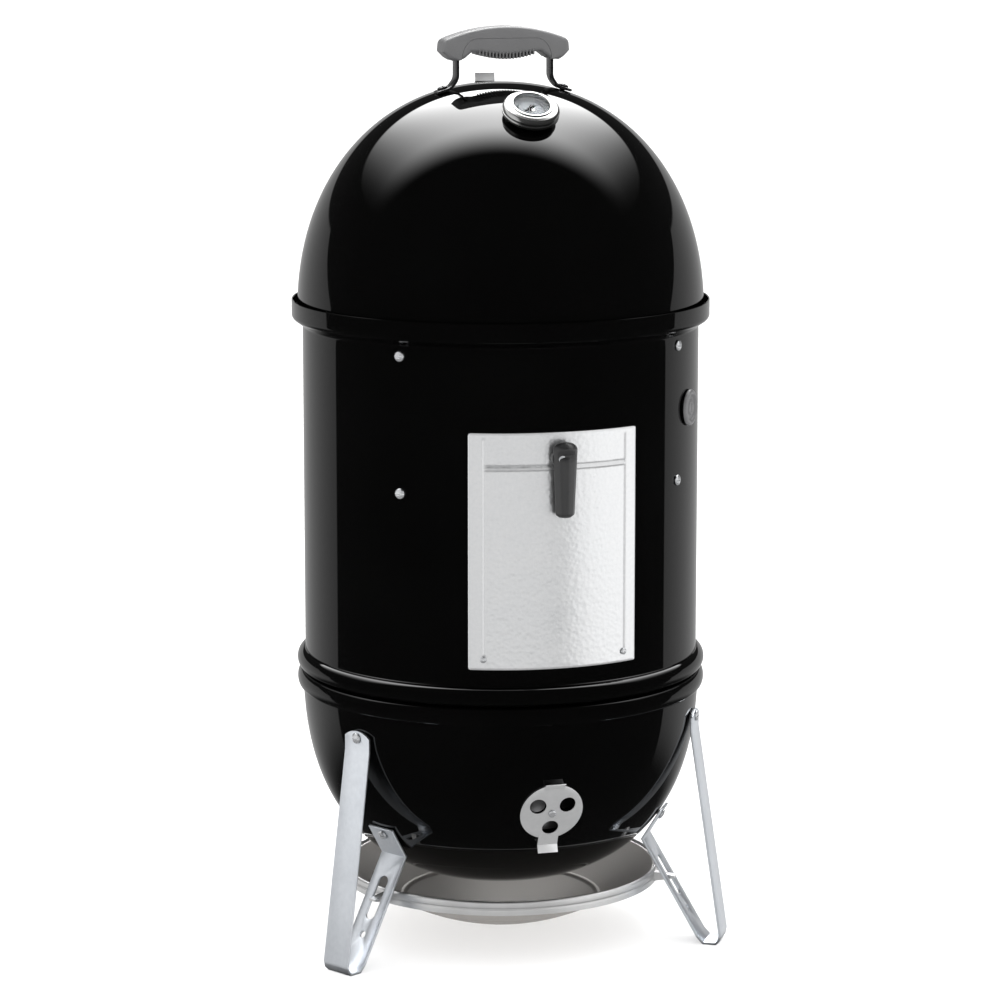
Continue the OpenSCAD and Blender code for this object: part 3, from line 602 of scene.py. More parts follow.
# The lid's finger tab is bent up further than the bowl's, from a line just outside the disc.
tab_bend = damper_radius + 5 * mm
tab_angle = math.radians(50)
tab_share = 0.65
for node in dampers:
    disc = eased(node, 0.28 * mm, sharp=50)
    if node == "lid_damper":
        stand = standing_on(joints["lid_damper_turn"], 180)
        back_to_stand = stand.inverted()
        for vertex in disc.verts:
            local = back_to_stand @ vertex.co
            beyond = abs(local.x) - tab_bend
            if beyond > 0 and vertex.co.y < joints["lid_damper_turn"]["pos_m"][1]:
                local.x = math.copysign(tab_bend + tab_share * beyond * math.cos(tab_angle), local.x)
                local.z += tab_share * beyond * math.sin(tab_angle)
            vertex.co = stand @ local
    new_piece(f"{node}_disc", disc, damper_metal, node, "damper_aluminium", node)

# ---- Charcoal grate, ring and cooking grates ----
# The grate is welded from plated steel rod and rests on three brackets in the bowl. The ring that
# holds the charcoal on it is perforated plated sheet. The two cooking grates have the same finish.
wire_metal = worked_metal(
    "plated_wire", (0.40, 0.40, 0.41), (0.56, 0.56, 0.57), 0.34, (1.0, 1.0, 1.0), 300.0, 0.08
)
for node in ("charcoal_grate", "charcoal_ring", "lower_grate", "upper_grate"):
    carried = frame["nodes"][node]
    carried.data.materials.clear()
    carried.data.materials.append(wire_metal)

# ---- Middle section ----
# An open cylinder rolled from 1.6 mm sheet and enamelled. A rolled bead and a short skirt seat it in
# the bowl; a sloping shoulder and an upright rim carry the lid. The fuel doorway is cut in its front.
body_low, body_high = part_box("body_shell")
rim_radius = body_high.x
body_radius = rim_radius - 12.3 * mm
rim_seat = 0.4 * mm
rim_height = 20 * mm
shoulder_height = 8.5 * mm
rib_out = 9 * mm
rib_half = 10.5 * mm
rib_mid = bowl_top + rim_seat + sheet / 2 + rib_half
wall = body_radius - sheet / 2
band_z = body_high.z - rim_height
door_low, door_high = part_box("door_panel")
doorway_half = 23.4
doorway_low = door_low.z + 4 * mm
doorway_high = door_high.z - 9.5 * mm
doorway_corner = 9 * mm

wall_path = [(wall, body_low.z), (wall, rib_mid - rib_half - 1.2 * mm)]
wall_path += arc((wall, rib_mid), rib_out, rib_half, -84, 84, 26)
wall_path += [(wall, rib_mid + rib_half + 1.2 * mm)]
wall_path += rounded_path(
    [(wall, band_z - shoulder_height - 12 * mm), (wall, band_z - shoulder_height)]
    + [(rim_radius - sheet / 2, band_z), (rim_radius - sheet / 2, body_high.z)],
    3 * mm,
)
doorway = bmesh.new()
reach_in, reach_out = body_radius - 12 * mm, body_radius + 12 * mm
across = body_radius * math.radians(doorway_half)
ring = []
for cx, cz, start in ((1, 1, 0), (-1, 1, 90), (-1, -1, 180), (1, -1, 270)):
    middle = (cx * (across - doorway_corner), (doorway_low + doorway_high) / 2)
    middle = (middle[0], doorway_high - doorway_corner if cz > 0 else doorway_low + doorway_corner)
    ring += arc(middle, doorway_corner, doorway_corner, start, start + 90, 8)
fine_ring = []
for first, second in zip(ring, ring[1:] + ring[:1]):
    wide, high = second[0] - first[0], second[1] - first[1]
    pieces = max(1, math.ceil(abs(wide) / (5 * mm)))
    fine_ring += [(first[0] + wide * k / pieces, first[1] + high * k / pieces) for k in range(pieces)]
sides = []
for reach in (reach_in, reach_out):
    points = []
    for u, z in fine_ring:
        angle = u / body_radius
        points.append(doorway.verts.new((reach * math.sin(angle), -reach * math.cos(angle), z)))
    sides.append(points)
for k in range(len(fine_ring)):
    j = (k + 1) % len(fine_ring)
    doorway.faces.new((sides[0][k], sides[0][j], sides[1][j], sides[1][k]))
for points in sides:
    cap = doorway.faces.new(points)
    bmesh.ops.triangulate(doorway, faces=[cap])
bmesh.ops.recalc_face_normals(doorway, faces=doorway.faces)
section = carve(spin(sheet_outline(wall_path, sheet)), [doorway])
new_piece("middle_section_shell", section, enamel, "middle_section", "enamel", "body_shell")

# ---- Probe grommet ----
# A moulded silicone plug in a hole beside the door. A probe's lead goes through its slit.


def plain_finish(name, tones, rough, sizes, relief=None, shine=None):
    """A material whose tone and roughness drift over the surface, with a fine relief if it has one."""
    material, tree, shader = finish(name)
    size, fine_size, fine_share = sizes
    drift = use(tree, unevenness, Size=size, Fine_Size=fine_size, Fine_Share=fine_share)
    feed(tree, shader, Base_Color=tinted(tree, drift, *tones), Roughness=between(tree, drift, *rough))
    if relief:
        feed(tree, shader, Normal=raised(tree, drift, *relief))
    if shine is not None:
        shader.inputs["Specular IOR Level"].default_value = shine
    return material


grommet_rubber = plain_finish(
    "grommet_rubber",
    ((0.085, 0.085, 0.087), (0.125, 0.125, 0.128)),
    (0.32, 0.45),
    (60.0, 900.0, 0.6),
    (0.2, 0.1 * mm),
)
grommet_low, grommet_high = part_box("probe_grommet")
grommet_z = (grommet_low.z + grommet_high.z) / 2
grommet_azimuth = math.radians(53)
outward = Vector((math.sin(grommet_azimuth), -math.cos(grommet_azimuth), 0))
upright = Vector((0, 0, 1))
grommet_place = Matrix((-upright, upright.cross(outward), outward)).transposed().to_4x4()
grommet_place.translation = outward * body_radius + upright * grommet_z
# Half the plug's outline, as radius and height over the wall in millimetres: a raised centre, a
# rounded ring round it, the groove that holds the wall, and the lip behind.
plug_line = [(0.0, 4.6), (6.2, 4.6), (8.2, 4.0), (9.0, 2.9), (13.2, 2.6), (14.2, 3.8), (15.6, 5.2)]
plug_line += [(17.6, 5.5), (19.5, 4.6), (20.4, 2.6), (20.4, 1.2), (14.0, 1.2), (14.0, -2.6)]
plug_line += [(16.8, -3.4), (16.8, -6.4), (0.0, -6.4)]
plug_outline = [(r * mm, z * mm) for r, z in plug_line]
slit_size = (11 * mm, 1.6 * mm, 40 * mm)
slit = bmesh.new()
bmesh.ops.create_cube(slit, size=1.0)
bmesh.ops.scale(slit, vec=slit_size, verts=slit.verts)
plug = carve(spin(rounded_path(plug_outline, 0.9 * mm, 3), closed=False, steps=96), [slit])
plug.transform(grommet_place)
new_piece("probe_grommet_plug", plug, grommet_rubber, "middle_section", "rubber", "probe_grommet")

# ---- Water pan ----
# A deep enamelled pan with a flat rim, which hangs on the lower ledges of the four straps.
pan_low, pan_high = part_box("water_pan")
pan_sheet = 1.2 * mm
pan_floor = 118 * mm
pan_path = [(0.0, pan_low.z + pan_sheet / 2), (pan_floor * 0.94, pan_low.z + pan_sheet / 2)]
pan_path += [(pan_floor + 4 * mm, pan_low.z + 9 * mm), (pan_high.x - 16 * mm, pan_high.z - 22 * mm)]
pan_path += [(pan_high.x - 12 * mm, pan_high.z - pan_sheet / 2), (pan_high.x, pan_high.z - pan_sheet / 2)]
pan_line = rounded_path(pan_path, 9 * mm, 8)
pan_outline = sheet_outline(pan_line, pan_sheet)[:-5]
pan_outline = [(0.0, pan_low.z + pan_sheet), *pan_outline, (0.0, pan_low.z)]
new_piece("water_pan_shell", spin(pan_outline, steps=192), enamel, "water_pan", "enamel", "water_pan")

# ---- Door ----
# A curved panel pressed from bright hammered aluminium sheet, with smooth margins, two raised upright
# lines, a bead across below the knob's shaft, and two rivets that hold the hooks on its back.
door_radius = -door_low.y - 1.2 * mm
door_sheet = 2 * mm
door_half = 24.8
door_corner = 3 * mm
knob_joint = joints["latch_turn"]
knob_z = knob_joint["pos_m"][2]
line_left, line_right = -20.4, 20.9
line_bottom = door_low.z + 17 * mm
line_top = door_high.z - 7 * mm
cross_z = knob_z - 12.7 * mm
door_columns, door_rows = 150, 196


def ridge(offset, half):
    """The height of a rounded ridge, 1 at its crest and 0 beyond its half width."""
    return math.cos(math.pi / 2 * min(1.0, abs(offset) / half)) ** 2


def door_relief(arc_at, z):
    """How far the pressed lines stand out from the panel."""
    out = 0.0
    for line in (line_left, line_right):
        beyond = max(line_bottom - z, z - line_top, 0.0)
        off = arc_at - math.radians(line) * door_radius
        out = max(out, 0.9 * mm * ridge(off, 1.7 * mm) * ridge(beyond, 2.5 * mm))
    if math.radians(line_left) * door_radius < arc_at < math.radians(line_right) * door_radius:
        out = max(out, 0.95 * mm * ridge(z - cross_z, 2.0 * mm))
        out -= 0.55 * mm * ridge(z - cross_z - 3.4 * mm, 1.6 * mm)
    return out


door = bmesh.new()
door_arc = math.radians(door_half) * door_radius
layers = []
for inside in (False, True):
    rows = []
    for row in range(door_rows + 1):
        line = []
        for column in range(door_columns + 1):
            u = -door_arc + 2 * door_arc * column / door_columns
            z = door_low.z + (door_high.z - door_low.z) * row / door_rows
            cu = max(abs(u) - (door_arc - door_corner), 0.0)
            cz = max(door_low.z + door_corner - z, z - (door_high.z - door_corner), 0.0)
            over = math.hypot(cu, cz)
            if over > door_corner:
                u -= math.copysign(cu - cu * door_corner / over, u)
                shift = cz - cz * door_corner / over
                z += shift if z < (door_low.z + door_high.z) / 2 else -shift
            edge = min(door_arc - abs(u), z - door_low.z, door_high.z - z)
            lip = 0.5 * mm * (1 - min(1.0, max(edge, 0.0) / (0.8 * mm))) ** 2
            radius = door_radius - door_sheet if inside else door_radius - lip + door_relief(u, z)
            if inside:
                radius += max(0.0, door_relief(u, z)) * 0.9
            angle = u / door_radius
            line.append(door.verts.new((radius * math.sin(angle), -radius * math.cos(angle), z)))
        rows.append(line)
    layers.append(rows)
for rows in layers:
    for row in range(door_rows):
        this, above = rows[row], rows[row + 1]
        for column in range(door_columns):
            door.faces.new((this[column], this[column + 1], above[column + 1], above[column]))


def rim_of(rows):
    """The points round the rim of one side of the panel, in order."""
    return (
        [rows[0][c] for c in range(door_columns)]
        + [rows[r][door_columns] for r in range(door_rows)]
        + [rows[door_rows][c] for c in range(door_columns, 0, -1)]
        + [rows[r][0] for r in range(door_rows, 0, -1)]
    )


front_loop, back_loop = rim_of(layers[0]), rim_of(layers[1])
for k in range(len(front_loop)):
    j = (k + 1) % len(front_loop)
    door.faces.new((front_loop[k], front_loop[j], back_loop[j], back_loop[k]))
bmesh.ops.remove_doubles(door, verts=door.verts, dist=1e-6)
bmesh.ops.dissolve_degenerate(door, edges=door.edges, dist=1e-7)
shade(door, 40)

# The hammered dents fade out just inside the two upright lines and leave the margins smooth.
hammered, tree, shader = finish("hammered_aluminium")
spot = place_node(tree, "ShaderNodeTexCoord").outputs["Object"]
parts = place_node(tree, "ShaderNodeSeparateXYZ", {"Vector": spot})
off_centre = place_node(tree, "ShaderNodeMath", {0: parts.outputs["X"]}, operation="ABSOLUTE")
margin = math.sin(math.radians(-line_left)) * door_radius
field = mapped(tree, off_centre.outputs["Value"], margin, margin - 4 * mm, 0.12, 1.0)
dents = place_node(
    tree,
    "ShaderNodeTexVoronoi",
    {"Vector": spot, "Scale": 210.0, "Smoothness": 0.7, "Randomness": 1.0},
    feature="SMOOTH_F1",
)
ripples = place_node(tree, "ShaderNodeTexNoise", {"Vector": spot, "Scale": 130.0, "Detail": 3.0})
surface = place_node(
    tree, "ShaderNodeMix", {0: 0.45, 2: dents.outputs["Distance"], 3: ripples.outputs["Fac"]}
)
height = place_node(tree, "ShaderNodeMath", {0: surface.outputs[0], 1: field}, operation="MULTIPLY")
tone = use(tree, unevenness, Size=18.0, Fine_Size=240.0, Fine_Share=0.5)
feed(
    tree,
    shader,
    Base_Color=tinted(tree, tone, (0.74, 0.75, 0.76), (0.86, 0.865, 0.87)),
    Roughness=between(tree, tone, 0.28, 0.38),
    Normal=raised(tree, height.outputs["Value"], 0.8, 0.5 * mm),
)
shader.inputs["Metallic"].default_value = 1.0
facing_out = Matrix.Rotation(math.pi / 2, 4, "X")
shaft_hole = (Matrix.Translation((0, -door_radius, knob_z)) @ facing_out, 4.08 * mm, 10 * mm)
new_piece("door_sheet", bored(door, [shaft_hole]), hammered, "door", "door_aluminium", "door_panel")

# ---- Knob ----
# A lever moulded in charcoal-coloured glass-filled nylon on a round base. Its head has a thumb notch
# under a hood, and its face is crowned with a bevelled flank on each side.
knob_low, knob_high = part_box("door_knob")
knob_back = -knob_high.y
lever_back = knob_back + 9 * mm
lever_face = -knob_low.y
lever_top = knob_high.z + 6.0 * mm
lever_end = knob_low.z - 4.5 * mm
lever_shift = 5.0 * mm
lever_rows, lever_sides = 72, 40
head_half = 14 * mm
tail_half = 10.4 * mm


def lever_half(t):
    """Half the lever's width, from its hooded head (t = 0) to its tip (t = 1)."""
    half = head_half + (tail_half - head_half) * t
    head = 9 * mm / (lever_top - lever_end)
    tail = 4.5 * mm / (lever_top - lever_end)
    if t < head:
        half *= math.sqrt(max(0.0, 1 - (1 - t / head) ** 2)) * 0.999 + 0.001
    if t > 1 - tail:
        half *= max(0.35, (1 - ((t - 1 + tail) / tail) ** 2.6)) ** (1 / 2.6)
    return half


def lever_depth(u, t):
    """How far the lever's face stands out, across (-1 to 1) and along."""
    crown = 1 - 0.50 * abs(u) ** 1.4 - 0.2 * max(0.0, abs(u) - 0.6) / 0.4
    fall = 1 - 0.10 * t - 0.35 * (max(0.0, t - 0.95) / 0.05) ** 2
    ease = min(1.0, 0.45 + 0.55 * (t / 0.08)) if t < 0.08 else 1.0
    notch = 0.34 * math.exp(-(((t - 0.175) / 0.045) ** 2) - (u / 0.62) ** 4)
    return (crown - notch) * fall * ease


knob = bmesh.new()
grid = []
for row in range(lever_rows + 1):
    t = row / lever_rows
    half = lever_half(t)
    z = lever_top + (lever_end - lever_top) * t
    line = []
    for k in range(lever_sides):
        angle = math.tau * k / lever_sides
        u = math.copysign(abs(math.cos(angle)) ** 0.62, math.cos(angle))
        if math.sin(angle) >= 0:
            depth = lever_back + (lever_face - lever_back) * lever_depth(u, t) * abs(math.sin(angle)) ** 0.5
        else:
            depth = lever_back - 1.6 * mm * abs(math.sin(angle)) ** 0.6
        line.append(knob.verts.new((lever_shift + u * half, -depth, z)))
    grid.append(line)
for row in range(lever_rows):
    for k in range(lever_sides):
        j = (k + 1) % lever_sides
        knob.faces.new((grid[row][k], grid[row][j], grid[row + 1][j], grid[row + 1][k]))
knob.faces.new(list(reversed(grid[0])))
knob.faces.new(grid[-1])
base_radius, base_deep = 9.4 * mm, 9 * mm
base_outline = [(0.0, 0.0), (base_radius - 1 * mm, 0.0), (base_radius, 1 * mm)]
base_outline += [(base_radius, base_deep), (0.0, base_deep)]
base = spin(base_outline, closed=False, steps=64)
base.transform(Matrix.Translation((0, -knob_back, knob_z)) @ facing_out)
knob.from_mesh(as_mesh("base", base))
bmesh.ops.remove_doubles(knob, verts=knob.verts, dist=1e-6)
shade(knob, 50)


def moulded_plastic(name, dark, light, rough, texture):
    """Moulded nylon with a fine spark-eroded texture."""
    rough_range = (rough * rough_low, rough * rough_high)
    return plain_finish(name, (dark, light), rough_range, (40.0, texture, 0.7), (0.25, 0.06 * mm))


knob_nylon = moulded_plastic("knob_nylon", (0.010, 0.010, 0.0105), (0.016, 0.016, 0.0165), 0.30, 2200.0)
new_piece("door_knob_lever", knob, knob_nylon, "door_latch", "nylon", "door_knob")

# ---- Lid ----
# A dome pressed from 1.6 mm steel and enamelled like the bowl. Its open edge drops inside the rim of
# the middle section. Vent holes are punched behind the handle.
lid_low, lid_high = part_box("lid")
lid_radius = lid_high.x
dome_start = lid_low.z + 4.5 * mm
dome_height = lid_high.z - dome_start
dome_roundness = 2.144
outside = rounded_shell(lid_radius, dome_height, dome_roundness, 160)
inside = rounded_shell(lid_radius - sheet, dome_height - sheet, dome_roundness, 90)
outline = [(r, dome_start + h) for r, h in outside]
outline += [(r, dome_start + h) for r, h in reversed(inside)]
outline += arc((lid_radius - sheet / 2, lid_low.z + sheet / 2), sheet / 2, sheet / 2, 180, 360, 6)
gauge_joint = joints["thermometer_needle"]
gauge_out = -Vector(gauge_joint["axis"])
gauge_place = standing_on({"axis": gauge_out, "pos_m": gauge_joint["pos_m"]})
lid_drills = vent_drills(joints["lid_damper_turn"], 180) + [(gauge_place, 4.25 * mm, drill_half)]
new_piece("lid_dome", bored(spin(outline), lid_drills), enamel, "lid", "enamel", "lid")

# ---- Handle ----
# A strap of 3 mm steel, 19 mm deep, bent over the top of the lid and bolted to it through its splayed
# feet, coated satin black. The grip is a nylon cover over a ribbed insert, screwed together round it.
strap_low, strap_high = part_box("handle_bracket")
handle_y = (strap_low.y + strap_high.y) / 2
handle_depth = strap_high.y - strap_low.y
strap_sheet = 3 * mm
strap_half = 54.5 * mm
foot_end = strap_high.x - 0.6 * mm
foot_start = strap_half + 7.5 * mm


def foot_height(x):
    """The height of the middle of a foot's sheet on the dome, at a distance from the middle."""
    reach = math.hypot(x, handle_y)
    rise = dome_height * (1 - (reach / lid_radius) ** dome_roundness) ** (1 / dome_roundness)
    return dome_start + rise + strap_sheet / 2 + 0.8 * mm


handle_line = [(-foot_end, foot_height(foot_end)), (-foot_start, foot_height(foot_start))]
handle_line += [(-strap_half, lid_high.z + 5 * mm), (-strap_half, strap_high.z - strap_sheet / 2)]
handle_line += [(-x, z) for x, z in reversed(handle_line)]
handle_outline = sheet_outline(rounded_path(handle_line, 5 * mm), strap_sheet)


def extruded(outline, middle_y, depth, ease):
    """An outline in X and Z given a depth along Y, with its long edges eased."""
    build = bmesh.new()
    near = [build.verts.new((x, middle_y - depth / 2, z)) for x, z in outline]
    far = [build.verts.new((x, middle_y + depth / 2, z)) for x, z in outline]
    build.faces.new(near)
    build.faces.new(list(reversed(far)))
    count = len(outline)
    for k in range(count):
        build.faces.new((near[(k + 1) % count], near[k], far[k], far[(k + 1) % count]))
    bmesh.ops.recalc_face_normals(build, faces=build.faces)
    rims = [edge for face in build.faces if len(face.verts) > 4 for edge in face.edges]
    bmesh.ops.bevel(
        build, geom=rims, offset=ease, segments=2, profile=0.5, affect="EDGES", clamp_overlap=False
    )
    bmesh.ops.triangulate(build, faces=[face for face in build.faces if len(face.verts) > 4])
    shade(build)
    return build


satin_black = plain_finish(
    "satin_black",
    ((0.008, 0.008, 0.009), (0.015, 0.015, 0.016)),
    (0.22, 0.34),
    (30.0, 1500.0, 0.6),
    (0.15, 0.05 * mm),
)
handle = extruded(handle_outline, handle_y, handle_depth, 0.5 * mm)
new_piece("handle_strap", handle, satin_black, "lid", "black_steel", "handle_bracket")
screws = eased("handle_bolts", 0.22 * mm, sharp=50)
new_piece("handle_screws", screws, satin_black, "lid", "black_steel", "handle_bolts")

cover_low, cover_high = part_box("grip_cover")
grip_front, grip_back = cover_low.y, cover_high.y
grip_texture = moulded_plastic("grip_nylon", (0.085, 0.085, 0.087), (0.112, 0.112, 0.114), 0.42, 1800.0)


def on_outline(edge, middle_z):
    """True for the edges round the grip's front and back faces that turn away from its middle."""
    for vertex in edge.verts:
        if min(abs(vertex.co.y - grip_front), abs(vertex.co.y - grip_back)) > 1e-5:
            return False
    point = (edge.verts[0].co + edge.verts[1].co) / 2
    for face in edge.link_faces:
        if abs(face.normal.y) < 0.5:
            return face.normal.x * point.x + face.normal.z * (point.z - middle_z) > 0
    return False


def on_cover(edge):
    """True for the edges round the cover's front and back faces."""
    return on_outline(edge, cover_high.z - 24 * mm)


cover = eased("grip_cover", 5 * mm, 6, 60, on_cover)
new_piece("grip_top", cover, grip_texture, "lid", "grip_grey", "grip_cover")

insert_low, insert_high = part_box("grip_insert")


def on_underside(edge):
    """True for the lower edges of the insert's front and back faces."""
    low_down = all(vertex.co.z < insert_low.z + 9 * mm for vertex in edge.verts)
    return low_down and on_outline(edge, insert_high.z + 1.0)


insert = eased("grip_insert", 4.5 * mm, 5, 60, on_underside)
finger_ribs = 8
finger_pitch = 3.9 * mm
finger_width = 2 * mm
finger_tall = 9 * mm
bow_half, bow_rise = 39.6 * mm, 7.5 * mm
finger_near, finger_far = grip_front + 0.3 * mm, grip_back - 0.3 * mm
for k in range(-finger_ribs, finger_ribs + 1):
    x = k * finger_pitch
    under = insert_low.z + bow_rise * (x / bow_half) ** 2
    middle = (x, (finger_near + finger_far) / 2, under + 0.1 * mm + finger_tall / 2)
    bar = bmesh.new()
    bmesh.ops.create_cube(bar, size=1.0)
    bmesh.ops.scale(bar, vec=(finger_width, finger_far - finger_near, finger_tall), verts=bar.verts)
    bmesh.ops.translate(bar, vec=middle, verts=bar.verts)
    lower = [edge for edge in bar.edges if all(v.co.z < under + finger_tall / 2 for v in edge.verts)]
    upright = [e for e in bar.edges if abs(e.verts[0].co.z - e.verts[1].co.z) > finger_tall / 2]
    bmesh.ops.bevel(bar, geom=lower + upright, offset=0.85 * mm, segments=3, profile=0.5, affect="EDGES")
    insert.from_mesh(as_mesh("rib", bar))
shade(insert, 45)
new_piece("grip_underside", insert, grip_texture, "lid", "grip_grey", "grip_insert")

# ---- Thermometer ----
# A turned stainless case with a groove round it and a rolled bezel, a flat glass, a white printed
# dial and a black tapered needle. It stands square to the dome in front of the handle.
# Its case, bezel, dial, scale and glass are drawn on a case 20 mm tall and then lowered together to the real,
# flatter one; the pointer is not lowered.
gauge_height = 20 * mm
gauge_lowered = 0.8
window = 21.5 * mm
dial_at = gauge_height - 7 * mm
case_line = [(0.0, 0.3), (26.5, 0.3), (30.2, 3.2), (31.4, 5.0), (31.5, 8.4), (30.9, 8.9), (30.5, 10.0)]
case_line += [(30.9, 11.0), (31.5, 11.5), (31.5, 13.6), (30.9, 15.6), (29.0, 17.9), (25.4, 19.6)]
case_line += [(23.5, 20.0), (21.8, 20.0), (21.8, 10.0), (0.0, 10.0)]
case_outline = rounded_path([(r * mm, z * mm) for r, z in case_line], 0.7 * mm, 4)
bezel_line = [(20.0, 20.0), (20.0, 20.7), (20.9, 21.6), (21.8, 21.9), (22.8, 21.7), (23.6, 20.9)]
bezel_line += [(23.7, 20.2), (23.0, 20.2), (23.0, 20.0)]
bezel_outline = [(r * mm, z * mm) for r, z in bezel_line]


def gauge_piece(name, build, material, body, slot, *nodes):
    """A piece made round its own Z axis, stood on the dome and square to it."""
    piece = add(name, as_mesh(name, build))
    piece.matrix_world = gauge_place @ Matrix.Diagonal((1, 1, gauge_lowered, 1))
    return settle(piece, material, body, slot, *nodes)


stainless = spun_metal("turned_stainless", (0.46, 0.46, 0.455), (0.60, 0.60, 0.595), 0.24, 2600.0, 0.2)
gauge_piece("gauge_body", spin(case_outline, steps=128), stainless, "lid", "stainless", "gauge_case")
bright = spun_metal("bezel_steel", (0.58, 0.58, 0.58), (0.68, 0.68, 0.68), 0.24, 2600.0, 0.05)
bezel = spin(bezel_outline, steps=128, sharp=50)
gauge_piece("gauge_rim", bezel, bright, "lid", "stainless", "gauge_bezel")

dial_tones = ((0.24, 0.255, 0.27), (0.28, 0.29, 0.305))
dial_white = plain_finish("dial_white", dial_tones, (0.4, 0.55), (50.0, 1500.0, 0.5), shine=0.04)
dial_bore = 0.9 * mm
dial_under, dial_top = dial_at - 2 * mm, dial_at - 1 * mm
dial_outline = [(dial_bore, dial_under), (window, dial_under), (window, dial_top), (dial_bore, dial_top)]
gauge_piece("gauge_face", spin(dial_outline, steps=96), dial_white, "lid", "dial_white", "gauge_dial")

ink_tones = ((0.004, 0.004, 0.004), (0.008, 0.008, 0.008))
black_ink = plain_finish("black_ink", ink_tones, (0.7, 0.9), (80.0, 1500.0, 0.5), shine=0.03)


def flat_shape(build, outline, under, top):
    """Adds a thin flat shape with an outline of (x, y) points between two heights."""
    low = [build.verts.new((x, y, under)) for x, y in outline]
    high = [build.verts.new((x, y, top)) for x, y in outline]
    build.faces.new(high)
    build.faces.new(list(reversed(low)))
    for k in range(len(outline)):
        j = (k + 1) % len(outline)
        build.faces.new((low[k], low[j], high[j], high[k]))


def on_dial(radius, degrees):
    """A place on the dial: its top is 0 degrees."""
    angle = math.radians(degrees)
    return Vector((-radius * math.cos(angle), radius * math.sin(angle)))


print_top = dial_at - 0.9 * mm
print_under = print_top - 0.08 * mm
scale_half = 125
mark_count = 25
mark_outer = 19.4 * mm
marks = bmesh.new()
for k in range(mark_count + 1):
    angle = -scale_half + 2 * scale_half * k / mark_count
    inner_end, half = (16.6 * mm, 0.28 * mm) if k % 5 == 0 else (17.9 * mm, 0.16 * mm)
    near, far = on_dial(inner_end, angle), on_dial(mark_outer, angle)
    side = on_dial(half, angle + 90)
    flat_shape(marks, (near - side, near + side, far + side, far - side), print_under, print_top)
band_inner, band_outer = 14 * mm, 15.4 * mm
band_pieces = 24
for start, end in ((-118, -32), (32, 118)):
    for k in range(band_pieces):
        first, second = (start + (end - start) * n / band_pieces for n in (k, k + 1))
        corners = ((band_outer, first), (band_outer, second), (band_inner, second), (band_inner, first))
        flat_shape(marks, [on_dial(r, a) for r, a in corners], print_under, print_top)
bmesh.ops.remove_doubles(marks, verts=marks.verts, dist=1e-7)
shade(marks)
gauge_piece("gauge_scale", marks, black_ink, "lid", "needle_black")

# The pointer's outline and half its hub's, in millimetres.
pointer_line = [(-5.5, 1.5), (-1.5, 1.9), (2.0, 2.1), (14.5, 0.45), (14.9, 0.0), (14.5, -0.45)]
pointer_line += [(2.0, -2.1), (-1.5, -1.9), (-5.5, -1.5)]
hub_line = [(0.0, 10.2), (0.8, 10.2), (0.8, 12.0), (3.0, 12.2), (3.0, 13.2), (2.4, 13.8), (0.0, 13.9)]
pointer_turn = Matrix.Rotation(math.radians(-50), 2)
pointer = bmesh.new()
pointer_outline = [pointer_turn @ Vector((x * mm, y * mm)) for x, y in pointer_line]
flat_shape(pointer, pointer_outline, 12.3 * mm, 12.9 * mm)
hub = spin([(r * mm, z * mm) for r, z in hub_line], closed=False, steps=48)
pointer.from_mesh(as_mesh("hub", hub))
shade(pointer, 40)
pointer.transform(gauge_place)
new_piece("gauge_pointer", pointer, black_ink, "gauge_needle", "needle_black", "gauge_needle")

clear, tree, shader = finish("clear_glass")
smear = use(tree, unevenness, Size=25.0, Fine_Size=200.0, Fine_Share=0.3)
feed(tree, shader, Roughness=between(tree, smear, 0.0, 0.03))
shader.inputs["Base Color"].default_value = (0.97, 0.98, 0.985, 1)
shader.inputs["Transmission Weight"].default_value = 1.0
shader.inputs["IOR"].default_value = 1.08
lens_under, lens_top = gauge_height - 1.8 * mm, gauge_height - 0.3 * mm
lens_outline = [(0.0, lens_under), (window, lens_under), (window, lens_top), (0.0, lens_top)]
glass = spin(lens_outline, closed=False, steps=96)
lens = gauge_piece("gauge_glass", glass, clear, "lid", "lens", "gauge_lens")
lens.visible_shadow = False

# ---- Floor ----
# A plain white sweep, far larger than the view. It is the stage, not part of the smoker.
floor_half = 40.0
sweep = bmesh.new()
cells = 8
step = 2 * floor_half / cells
places = [-floor_half + k * step for k in range(cells + 1)]
grid = [[sweep.verts.new((x, y, 0)) for y in places] for x in places]
for i in range(cells):
    for j in range(cells):
        sweep.faces.new((grid[i][j], grid[i + 1][j], grid[i + 1][j + 1], grid[i][j + 1]))
floor = add("floor", as_mesh("floor", sweep))
white, tree, shader = finish("white_sweep")
tone = use(tree, unevenness, Size=0.4, Fine_Size=3.0, Fine_Share=0.3)
feed(tree, shader, Base_Color=tinted(tree, tone, (0.93, 0.93, 0.93), (0.95, 0.95, 0.95)))
shader.inputs["Roughness"].default_value = 0.9
shader.inputs["Specular IOR Level"].default_value = 0.0
floor.data.materials.append(white)
floor.visible_glossy = False
floor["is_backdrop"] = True

# ---- Camera ----
# It stands 4.2 m away at lid height, a little to the left of the door, and looks down by 9.5 degrees.
camera = add("camera", bpy.data.cameras.new("camera"))
camera_azimuth = math.radians(-15.83)
camera_away = 4.212
camera_height = 1.2625
look_down = math.radians(9.519)
camera_x = camera_away * math.sin(camera_azimuth)
camera_y = -camera_away * math.cos(camera_azimuth)
camera.location = (camera_x, camera_y, camera_height)
camera.rotation_euler = (math.pi / 2 - look_down, 0, camera_azimuth)
camera.data.lens = 134.95
camera.data.sensor_width = 36
camera.data.shift_x = -0.0006
camera.data.shift_y = -0.0466
camera.data.clip_end = 200
bpy.context.scene.camera = camera

